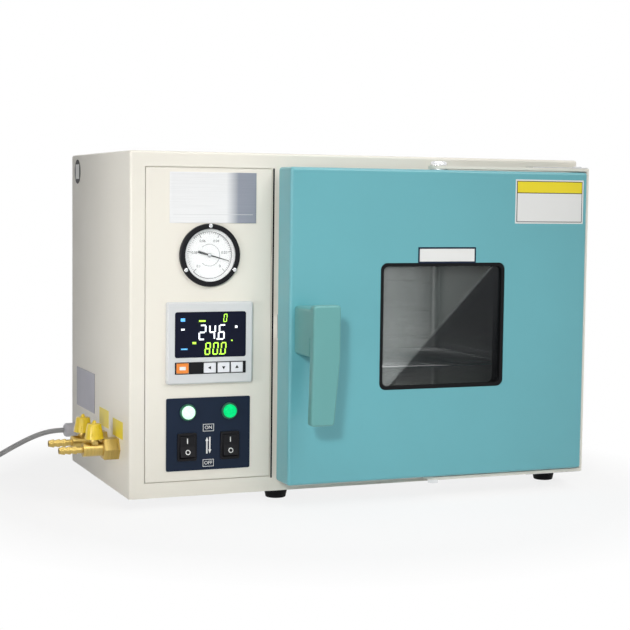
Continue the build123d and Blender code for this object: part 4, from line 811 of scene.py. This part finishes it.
class OVEN_OT_stage(bpy.types.Operator):
    """Sets the floor, the soft studio lights and the camera"""
    bl_idname = "vacuum_oven.stage"
    bl_label = "Stage"

    def execute(self, context):
        context.scene.view_settings.view_transform = "Standard"
        add_world()
        add_floor()
        centre = middle("casing_shell")
        beam = in_row(290, 0, 250)
        add_spot("key_spot", beam + Vector((-1.25, -2.0, 0.75)), beam, 0.16, KEY_WATTS, 23)
        add_soft_light("edge_light", in_row(-900, -500, 260), in_row(0, 30, 260), (0.12, 1.0),
                       EDGE_WATTS, 25)
        add_soft_light("front_light", centre + Vector((0.9, -2.0, 1.7)), centre, (1.6, 1.2),
                       FRONT_WATTS)
        add_soft_light("top_light", centre + Vector((0.0, -0.2, 2.2)), centre, (2.2, 2.0),
                       TOP_WATTS)
        add_camera()
        return {"FINISHED"}


class OVEN_OT_finishes(bpy.types.Operator):
    """Gives every constructed node its finish"""
    bl_idname = "vacuum_oven.finishes"
    bl_label = "Finishes"

    def execute(self, context):
        FINISHES.update(build_finishes(context.scene.oven_finish))
        dressed = set()
        for finish, nodes in NODE_FINISHES.items():
            for node in nodes:
                set_finish(frame["nodes"][node], finish)
                dressed.add(node)
        two_finishes(frame["nodes"]["lamp_lenses"], "lit white lens",
                     middle("switch_plate").x)
        left_over = set(frame["nodes"]) - dressed - {"mains_lead", "lead_coil", "mains_plug"}
        if left_over:
            raise RuntimeError(f"nodes without a finish: {sorted(left_over)}")
        return {"FINISHED"}


# ---------------------------------------------------------------- mains lead
GLAND_TIP = (-16.0, 288.0, 60.0)
LEAD_ROUTE = [
    (-32.0, 288.0, 60.0),
    (-53.0, 288.4, 55.0),
    (-75.0, 289.4, 45.5),
    (-98.0, 291.4, 33.0),
    (-122.0, 294.8, 19.5),
    (-147.0, 300.4, 8.6),
    (-171.0, 308.5, 4.2),
]
COIL_RADIUS = 40.0              # millimetres, at the middle of the turns
COIL_PITCH = 7.5                # from one turn to the next
COIL_FLOOR = 4.05               # centre of the lowest turns above the bench
COIL_STEPS = 16                 # points in a turn
COIL_START = (1, 0)             # side and layer of the first turn
COIL_MOVES = [(305, -1, 0), (640, -1, 1), (975, -1, 2), (1300, 1, 2), (1530, 1, 1)]
MOVE_ANGLE = 60.0               # degrees wound while the lead changes its place
FULL_TURNS = 5
PLUG_TAIL = [(8.0, 11.7), (20.0, 12.8), (30.0, 13.3)]   # beyond the coil's middle, height


def outer_turn():
    return COIL_RADIUS + COIL_PITCH / 2


def coil_centre():
    """Behind the route's end, so that the lead runs into the coil's outer turn."""
    before, end = Vector(LEAD_ROUTE[-2]), Vector(LEAD_ROUTE[-1])
    along = Vector((end.x - before.x, end.y - before.y)).normalized()
    return end.x + along.y * outer_turn(), end.y - along.x * outer_turn(), along


def eased(share):
    return 0.5 - 0.5 * math.cos(math.pi * min(max(share, 0.0), 1.0))


def coil_section(wound):
    """Radius and height of the lead after so many degrees of winding."""
    side, layer = COIL_START
    for start, new_side, new_layer in COIL_MOVES:
        share = eased((wound - start) / MOVE_ANGLE)
        side += (new_side - side) * share
        layer += (new_layer - layer) * share
    return COIL_RADIUS + side * COIL_PITCH / 2, COIL_FLOOR + layer * COIL_PITCH


def coil_points():
    """Clockwise turns, from the route's end round to where the lead leaves for the plug."""
    centre_x, centre_y, along = coil_centre()
    start = (math.degrees(math.atan2(-along.x, along.y)) + 180) % 360
    last = FULL_TURNS * 360 + start - 180
    steps = round(last / (360 / COIL_STEPS))
    points = []
    for index in range(1, steps + 1):
        wound = last * index / steps
        radius, height = coil_section(wound)
        angle = math.radians(start - wound)
        points.append((centre_x + radius * math.cos(angle),
                       centre_y + radius * math.sin(angle), height))
    return points


def lead_points():
    centre_x, centre_y, _ = coil_centre()
    tail = [(centre_x - outer_turn(), centre_y + y, z) for y, z in PLUG_TAIL]
    return [GLAND_TIP] + LEAD_ROUTE + coil_points() + tail


class OVEN_OT_lead(bpy.types.Operator):
    """Lays the mains lead from its gland to the coil and the plug"""
    bl_idname = "vacuum_oven.lead"
    bl_label = "Mains lead"

    def execute(self, context):
        sizes = context.scene.oven_lead
        places = [in_row(*point) for point in lead_points()]
        curve = bpy.data.curves.new("power_lead", "CURVE")
        curve.dimensions = "3D"
        curve.bevel_depth = sizes.diameter / 2
        curve.bevel_resolution = 5
        curve.resolution_u = 6
        curve.use_fill_caps = True
        spline = curve.splines.new("NURBS")
        spline.points.add(len(places) - 1)
        for point, place in zip(spline.points, places):
            point.co = (*place, 1)
        spline.order_u = 3
        spline.use_endpoint_u = True
        lead = bpy.data.objects.new("power_lead", curve)
        context.scene.collection.objects.link(lead)
        set_finish(lead, "lead sheath")
        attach(lead, "oven")
        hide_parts("mains_lead", "lead_coil")
        set_finish(frame["nodes"]["mains_plug"], "lead sheath")
        return {"FINISHED"}


# ---------------------------------------------------------------- gauge
DIAL_START = 225.0              # degrees, at the lower left
DIAL_SWEEP = 270.0
DIAL_STEPS = 50
DIAL_FIGURES = ("0.1", "0.08", "0.06", "0.04", "0.02", "0")
DIAL_BEHIND_POINTER = 1.2 * MM  # the dial lies this far behind the pointer
SCALE_EDGE = 28.8 * MM          # radius at which every mark ends
MARK_STARTS = {10: 24.0 * MM, 5: 25.6 * MM, 1: 26.8 * MM}     # tens, fives and single steps
FIGURE_RING = 19.6 * MM
FIGURE_HEIGHT = 4.6 * MM


def dial_angle(share):
    """Degrees at a share of the dial's sweep, counted clockwise from its start."""
    return DIAL_START - DIAL_SWEEP * share


def round_the_dial(angle, radius):
    centre = middle("gauge_dial")
    front = joint_place("pointer_turn").y + DIAL_BEHIND_POINTER
    turn = math.radians(angle)
    return Vector((centre.x + radius * math.cos(turn), front - PRINT,
                   centre.z + radius * math.sin(turn)))


def radial_mark(name, angle, inner, outer, width):
    """A thin printed stroke that points at the dial's centre."""
    turn = Matrix.Rotation(math.radians(90 - angle), 4, "Y")
    return flat_box(name, round_the_dial(angle, (inner + outer) / 2), width, outer - inner,
                    PRINT, turn @ FRONT)


class OVEN_OT_gauge(bpy.types.Operator):
    """Prints the dial of the vacuum gauge"""
    bl_idname = "vacuum_oven.gauge"
    bl_label = "Gauge dial"

    def execute(self, context):
        marks = []
        for step in range(DIAL_STEPS + 1):
            start = next(MARK_STARTS[every] for every in MARK_STARTS if step % every == 0)
            width = (0.6 if step % 10 == 0 else 0.35) * MM
            marks.append(radial_mark("dial_mark", dial_angle(step / DIAL_STEPS), start,
                                     SCALE_EDGE, width))
        keep(join("gauge_scale", marks), "print grey", "oven")
        self.arc("gauge_arc", SCALE_EDGE, 29.4 * MM)
        self.arc("gauge_inner_arc", 13.4 * MM, 13.8 * MM)
        for index, figure in enumerate(DIAL_FIGURES):
            angle = dial_angle(index / (len(DIAL_FIGURES) - 1))
            lettering(f"dial_figure_{index}", figure, round_the_dial(angle, FIGURE_RING),
                      FIGURE_HEIGHT, "print black")
        self.hub()
        return {"FINISHED"}

    @staticmethod
    def arc(name, inner, outer):
        """A printed arc over the dial's sweep, spun from one short stroke."""
        stroke = radial_mark(name, DIAL_START, inner, outer, 0.1 * MM)
        settle(stroke)
        start = math.radians(DIAL_START)
        pick_faces(stroke, Vector((math.sin(start), 0, -math.cos(start))))
        bpy.ops.mesh.spin(steps=72, angle=math.radians(DIAL_SWEEP), axis=(0, 1, 0),
                          center=middle("gauge_dial"))
        bpy.ops.mesh.select_all(action="SELECT")
        bpy.ops.mesh.normals_make_consistent(inside=False)
        leave_edit()
        keep(stroke, "print grey", "oven")

    @staticmethod
    def hub():
        """The pointer's turned cap."""
        deselect()
        bpy.ops.mesh.primitive_cylinder_add(vertices=32, radius=2.2 * MM, depth=0.9 * MM)
        cap = name_and_place("pointer_cap",
                             joint_place("pointer_turn") + Vector((0, -0.65 * MM, 0)))
        inset_front(cap, 0.8 * MM, (0, -0.3 * MM, 0))
        soften(cap, 0.15 * MM)
        keep(cap, "zinc plate", "pointer")


# ---------------------------------------------------------------- controller
SEGMENTS = {
    "0": "abcdef", "2": "abged", "4": "fgbc", "6": "afgedc", "8": "abcdefg",
}
SEGMENT_PLACES = {              # middle in digit widths and heights, and whether it stands
    "a": (0.0, 0.5, False), "g": (0.0, 0.0, False), "d": (0.0, -0.5, False),
    "f": (-0.5, 0.25, True), "b": (0.5, 0.25, True),
    "e": (-0.5, -0.25, True), "c": (0.5, -0.25, True),
}
DIGIT_LEAN = 0.12
DIGIT_WIDTH = 0.46              # of the digit's height, as is the bar's width
BAR_WIDTH = 0.095
DIGIT_STEP = 1.42               # from one digit to the next, in digit widths
KEY_FILM = 0.2 * MM
KEY_PLAY = 0.6 * MM             # how much wider than its key a hole in the film is
DISPLAY_ROWS = [                # name, figures, left and middle line, height, finish
    ("display_small", "0", 0.68, 0.86, 0.18, "lit digits green"),
    ("display_measured", "24.6", 0.335, 0.55, 0.34, "lit digits white"),
    ("display_set", "80.0", 0.42, 0.19, 0.275, "lit digits green"),
]
DISPLAY_ICONS = [               # name, middle across and up, width, height, finish
    ("icon_left_top", 0.11, 0.83, 0.06, 0.07, "lit digits blue"),
    ("icon_left_middle", 0.11, 0.62, 0.05, 0.035, "lit digits white"),
    ("icon_left_low", 0.13, 0.19, 0.09, 0.03, "lit digits blue"),
    ("icon_bar", 0.38, 0.80, 0.09, 0.035, "lit digits green"),
    ("icon_unit", 0.86, 0.66, 0.035, 0.05, "lit digits white"),
    ("icon_set", 0.27, 0.32, 0.05, 0.045, "lit digits green"),
    ("icon_degree", 0.80, 0.36, 0.02, 0.03, "lit digits green"),
]
KEY_SIGNS = [                   # node, body and the way in which its triangle points
    ("key_shift", "shift_key", 90), ("key_down", "down_key", 180), ("key_up", "up_key", 0),
]


def segment_figures(name, figures, start, height, finish):
    """Lit seven-segment figures; start is at their left, on their middle line."""
    width, bar = height * DIGIT_WIDTH, height * BAR_WIDTH
    pieces, x = [], 0.0
    for figure in figures:
        if figure == ".":
            dot = start + Vector((x - width * 0.16, 0, height * -0.45))
            pieces.append(flat_box("segment", dot, bar, bar, PRINT))
            continue
        for letter in SEGMENTS[figure]:
            across, up, stands = SEGMENT_PLACES[letter]
            place = start + Vector((x + width / 2 + across * (width - bar)
                                    + up * height * DIGIT_LEAN, 0, up * (height - bar)))
            size = (bar, height * 0.40) if stands else (width * 0.70, bar)
            pieces.append(flat_box("segment", place, *size, PRINT))
        x += width * DIGIT_STEP
    keep(join(name, pieces), finish, "oven")


class OVEN_OT_controller(bpy.types.Operator):
    """Lights the display and prints the marks of the keys"""
    bl_idname = "vacuum_oven.controller"
    bl_label = "Controller"

    def execute(self, context):
        corner, size = low("display_window"), span("display_window")
        for name, figures, across, up, tall, finish in DISPLAY_ROWS:
            start = corner + Vector((across * size.x, 0, up * size.z))
            segment_figures(name, figures, start, tall * size.z, finish)
        for name, across, up, wide, tall, finish in DISPLAY_ICONS:
            place = corner + Vector((across * size.x, 0, up * size.z))
            icon = bordered_plate(name, place, wide * size.x, tall * size.z, PRINT,
                                  0.25 * MM, -0.02 * MM)
            keep(icon, finish, "oven")
        self.key_film()
        self.key_signs()
        return {"FINISHED"}

    @staticmethod
    def key_film():
        """The dark film that frames the keys."""
        film = flat_box("key_film", Vector((middle("display_window").x,
                                            low("controller_bezel").y - KEY_FILM,
                                            middle("key_set").z)),
                        span("display_window").x, 15.0 * MM, KEY_FILM)
        settle(film)
        for node in ("key_set", "key_shift", "key_down", "key_up"):
            size = span(node)
            hole = flat_box("key_hole", middle(node) + Vector((0, 5 * MM, 0)),
                            size.x + KEY_PLAY, size.z + KEY_PLAY, 10 * MM)
            settle(hole)
            take(film)
            cut = film.modifiers.new("key hole", "BOOLEAN")
            cut.operation = "DIFFERENCE"
            cut.object = hole
            bpy.ops.object.modifier_apply(modifier=cut.name)
            bpy.data.objects.remove(hole)
        keep(film, "black moulding", "oven")

    @staticmethod
    def key_signs():
        """Triangles on the three arrow keys and a bar on the set key."""
        for node, body, turn in KEY_SIGNS:
            deselect()
            bpy.ops.mesh.primitive_cylinder_add(vertices=3, radius=2.6 * MM, depth=PRINT)
            place = Vector((middle(node).x, low(node).y - PRINT / 2, middle(node).z))
            sign = name_and_place(f"sign_{node}", place,
                                  Matrix.Rotation(math.radians(-turn), 4, "Y") @ FRONT)
            inset_front(sign, 0.5 * MM)
            keep(sign, "print black", body)
        centre = middle("key_set")
        sign = bordered_plate("sign_key_set", Vector((centre.x, low("key_set").y, centre.z)),
                              8.0 * MM, 4.2 * MM, PRINT, 0.7 * MM, -0.03 * MM)
        keep(sign, "print white", "set_key")


# ---------------------------------------------------------------- switch panel
ROCKER_TILT = math.radians(9.0)
ROCKER_HALF = 14.0              # millimetres from the pin's height to the rocker's end
ROCKER_DIP = 1.3                # by which the middle of its face lies behind the ends
ROCKER_FACE = 5.5               # from the pin out to the ends of its face
SIGN_HEIGHT = 7.0               # from the pin's height up or down to a sign
SIGN_LIFT = 0.04
ARROW_SHAFT = 0.42              # width of the shaft in arrow widths
ARROW_HEAD = 0.3                # height of the head in shaft heights


def arrow(name, centre, height, width, sign):
    """A slim printed arrow, up or down by its sign: a shaft drawn out into a head."""
    piece = flat_box(name, centre, width * ARROW_SHAFT, height, PRINT)
    settle(piece)
    neck, tip = (centre + OUT * (sign * height * share) for share in (0.5, 0.5 + ARROW_HEAD))
    pick_faces(piece, OUT * sign)
    bpy.ops.mesh.extrude_region_move()
    bpy.ops.transform.resize(value=(2.2, 1, 1), center_override=neck)
    bpy.ops.mesh.extrude_region_move(TRANSFORM_OT_translate={"value": tip - neck})
    bpy.ops.transform.resize(value=(0.02, 1, 1), center_override=tip)
    leave_edit()
    return piece


class OVEN_OT_switch_panel(bpy.types.Operator):
    """Prints ON, OFF and the rockers' signs"""
    bl_idname = "vacuum_oven.switch_panel"
    bl_label = "Switch panel"

    def execute(self, context):
        origin = Vector((middle("switch_plate").x, low("switch_plate").y, CASING_BASE))
        for words, up in (("ON", 85.7), ("OFF", 41.0)):
            self.boxed_word(words, origin + Vector((0, 0, up * MM)))
        for name, shift, up, sign in (("arrow_up", -1.9, 60.9, 1), ("arrow_down", 1.9, 65.9, -1)):
            place = origin + Vector((shift * MM, 0, up * MM))
            keep(arrow(name, place, 16 * MM, 4.4 * MM, sign), "print white", "oven")
        for node, body in (("rocker_left", "power_rocker"), ("rocker_right", "heat_rocker")):
            self.rocker_signs(node, body)
        return {"FINISHED"}

    @staticmethod
    def boxed_word(words, place):
        """A printed word in an open box of thin lines."""
        box = flat_box(f"box_{words.lower()}", place, 14.4 * MM, 9.2 * MM, PRINT)
        pick_faces(box, OUT)
        bpy.ops.mesh.inset(thickness=0.6 * MM)
        bpy.ops.mesh.delete(type="FACE")
        leave_edit()
        pick_faces(box, -OUT)
        bpy.ops.mesh.delete(type="FACE")
        leave_edit()
        keep(box, "print white", "oven")
        lettering(f"word_{words.lower()}", words, place + Vector((0, -PRINT, 0)), 6.2 * MM,
                  "print white")

    @staticmethod
    def rocker_signs(node, body):
        """A bar on the upper half of the rocker and a ring on the lower half."""
        pin = joint_place(f"{body}_tip")
        slope = math.atan2(ROCKER_DIP, ROCKER_HALF)
        out = ROCKER_FACE - ROCKER_DIP * (1 - SIGN_HEIGHT / ROCKER_HALF) + SIGN_LIFT
        for name, side in (("bar", 1), ("ring", -1)):
            local = Vector((0, -out * MM, side * SIGN_HEIGHT * MM))
            local.rotate(Matrix.Rotation(-ROCKER_TILT, 3, "X"))
            facing = Matrix.Rotation(side * slope - ROCKER_TILT, 4, "X") @ FRONT
            if name == "bar":
                sign = flat_box(f"{node}_bar", pin + local, 1.1 * MM, 6.4 * MM, PRINT, facing)
                inset_front(sign, 0.2 * MM)
            else:
                deselect()
                bpy.ops.mesh.primitive_torus_add(major_radius=2.7 * MM, minor_radius=0.5 * MM,
                                                 major_segments=32, minor_segments=8)
                sign = name_and_place(f"{node}_ring", pin + local, facing)
                sign.data.transform(Matrix.Diagonal((1, 1, 0.25, 1)))
            keep(sign, "print white", body)


# ---------------------------------------------------------------- bare plates
DOOR_FILMS = [      # name, x, z, films beneath, width, height, border, its step, finish
    ("window_plate_border", 405.0, 303.3, 0.0, 83.0, 20.6, 2.0, -0.05, "switch panel navy"),
    ("window_plate_field", 405.0, 303.3, 0.7, 78.6, 16.2, 0.6, 0.03, "print white"),
    ("corner_plate", 554.6, 373.2, 0.0, 102.8, 57.6, 1.2, 0.04, "print white"),
    ("corner_plate_outline", 554.6, 373.2, 0.6, 99.0, 53.8, 0.8, 0.03, "print black"),
    ("corner_plate_field", 554.6, 365.6, 1.2, 97.2, 36.8, 0.8, 0.03, "print white"),
    ("corner_plate_band", 554.6, 392.1, 1.2, 97.2, 14.2, 0.8, 0.03, "plate yellow"),
]
WALL_TAGS = [       # name, y, z, width, height
    ("tag_pump", 124.0, 85.5, 48, 23),
    ("tag_vent", 54.5, 81.0, 49, 22),
]


def casing_place(x, y, z):
    """Millimetres from the casing's front left corner at its underside."""
    return Vector((CASING_LEFT + x * MM, CASING_FRONT + y * MM, CASING_BASE + z * MM))


class OVEN_OT_plates(bpy.types.Operator):
    """Fixes the bare plates and tags to the casing and the door"""
    bl_idname = "vacuum_oven.plates"
    bl_label = "Plates"

    def execute(self, context):
        sizes = context.scene.oven_plates
        name_plate = bordered_plate("name_plate", casing_place(106.8, 0, 373.3),
                                    sizes.name_width, sizes.name_height, sizes.thickness,
                                    2.0 * MM, -0.25 * MM)
        soften(name_plate, 0.12 * MM)
        keep(name_plate, "name plate metal", "oven")
        rule = flat_box("name_plate_rule", casing_place(106.8, -0.55, 352.5),
                        104 * MM, 0.5 * MM, 0.08 * MM)
        inset_front(rule, 0.1 * MM)
        keep(rule, "silver moulding", "oven")
        # a thin black strip on the casing front: painted shadow in the gap beside the door's left
        # edge
        gap_shadow_strip = flat_box("door_edge_painted_shadow", casing_place(186.9, 0, 214), 2.2 * MM, 394 * MM,
                        0.3 * MM)
        soften(gap_shadow_strip, 0.1 * MM)
        keep(gap_shadow_strip, "black rubber", "oven")
        self.door_films(sizes)
        self.wall_plates(sizes)
        self.round_badge(sizes)
        return {"FINISHED"}

    @staticmethod
    def door_films(sizes):
        """The bare label over the window and the one in the door's corner, film on film."""
        for name, x, z, beneath, wide, tall, border, step, finish in DOOR_FILMS:
            place = casing_place(x, 0, z)
            place.y = low("door_shell").y - beneath * sizes.film
            film = bordered_plate(name, place, wide * MM, tall * MM, sizes.film,
                                  border * MM, step * MM)
            keep(film, finish, "door")

    @staticmethod
    def wall_plates(sizes):
        """The bare data plate and the tags of the two valves."""
        plate = bordered_plate("data_plate", casing_place(0, 223.5, 110.5), 99 * MM, 53 * MM,
                               sizes.thickness, 1.5 * MM, -0.2 * MM, LEFT)
        keep(plate, "plate lilac", "oven")
        for name, y, z, wide, tall in WALL_TAGS:
            tag = bordered_plate(name, casing_place(0, y, z), wide * MM, tall * MM,
                                 sizes.film, 0.8 * MM, 0.04 * MM, LEFT)
            keep(tag, "plate yellow", "oven")

    @staticmethod
    def round_badge(sizes):
        """A plain round badge with a rounded field."""
        deselect()
        bpy.ops.mesh.primitive_cylinder_add(vertices=64, radius=16.5 * MM,
                                            depth=sizes.film)
        badge = name_and_place("round_badge", casing_place(0, 272, 407)
                               + Vector((-sizes.film / 2, 0, 0)), LEFT)
        inset_front(badge, 2.2 * MM, (0.05 * MM, 0, 0))
        keep(badge, "print black", "oven")
        field = flat_box("round_badge_field", casing_place(-0.2, 272, 407), 20 * MM, 20 * MM,
                         sizes.film, LEFT)
        soften(field, 6 * MM, 8)
        keep(field, "print white", "oven")


# ---------------------------------------------------------------- panel
STEPS = [OVEN_OT_stage, OVEN_OT_finishes, OVEN_OT_lead, OVEN_OT_gauge, OVEN_OT_controller,
         OVEN_OT_switch_panel, OVEN_OT_plates]
SETTINGS = {"oven_finish": OvenFinish, "oven_plates": OvenPlates, "oven_lead": OvenLead}


class OVEN_PT_panel(bpy.types.Panel):
    """Lists the steps that dress the oven"""
    bl_label = "Vacuum Oven"
    bl_idname = "OVEN_PT_panel"
    bl_space_type = "VIEW_3D"
    bl_region_type = "UI"
    bl_category = "Vacuum Oven"

    def draw(self, context):
        for group in SETTINGS:
            settings = getattr(context.scene, group)
            for name in settings.__annotations__:
                self.layout.prop(settings, name)
        for step in STEPS:
            self.layout.operator(step.bl_idname)


CLASSES = [*SETTINGS.values(), *STEPS, OVEN_PT_panel]


def register():
    for made in CLASSES:
        bpy.utils.register_class(made)
    for name, kind in SETTINGS.items():
        setattr(bpy.types.Scene, name, bpy.props.PointerProperty(type=kind))


def unregister():
    for name in SETTINGS:
        delattr(bpy.types.Scene, name)
    for made in reversed(CLASSES):
        bpy.utils.unregister_class(made)


def main():
    register()
    for step in STEPS:
        area, name = step.bl_idname.split(".")
        getattr(getattr(bpy.ops, area), name)()


if __name__ == "__main__":
    main()
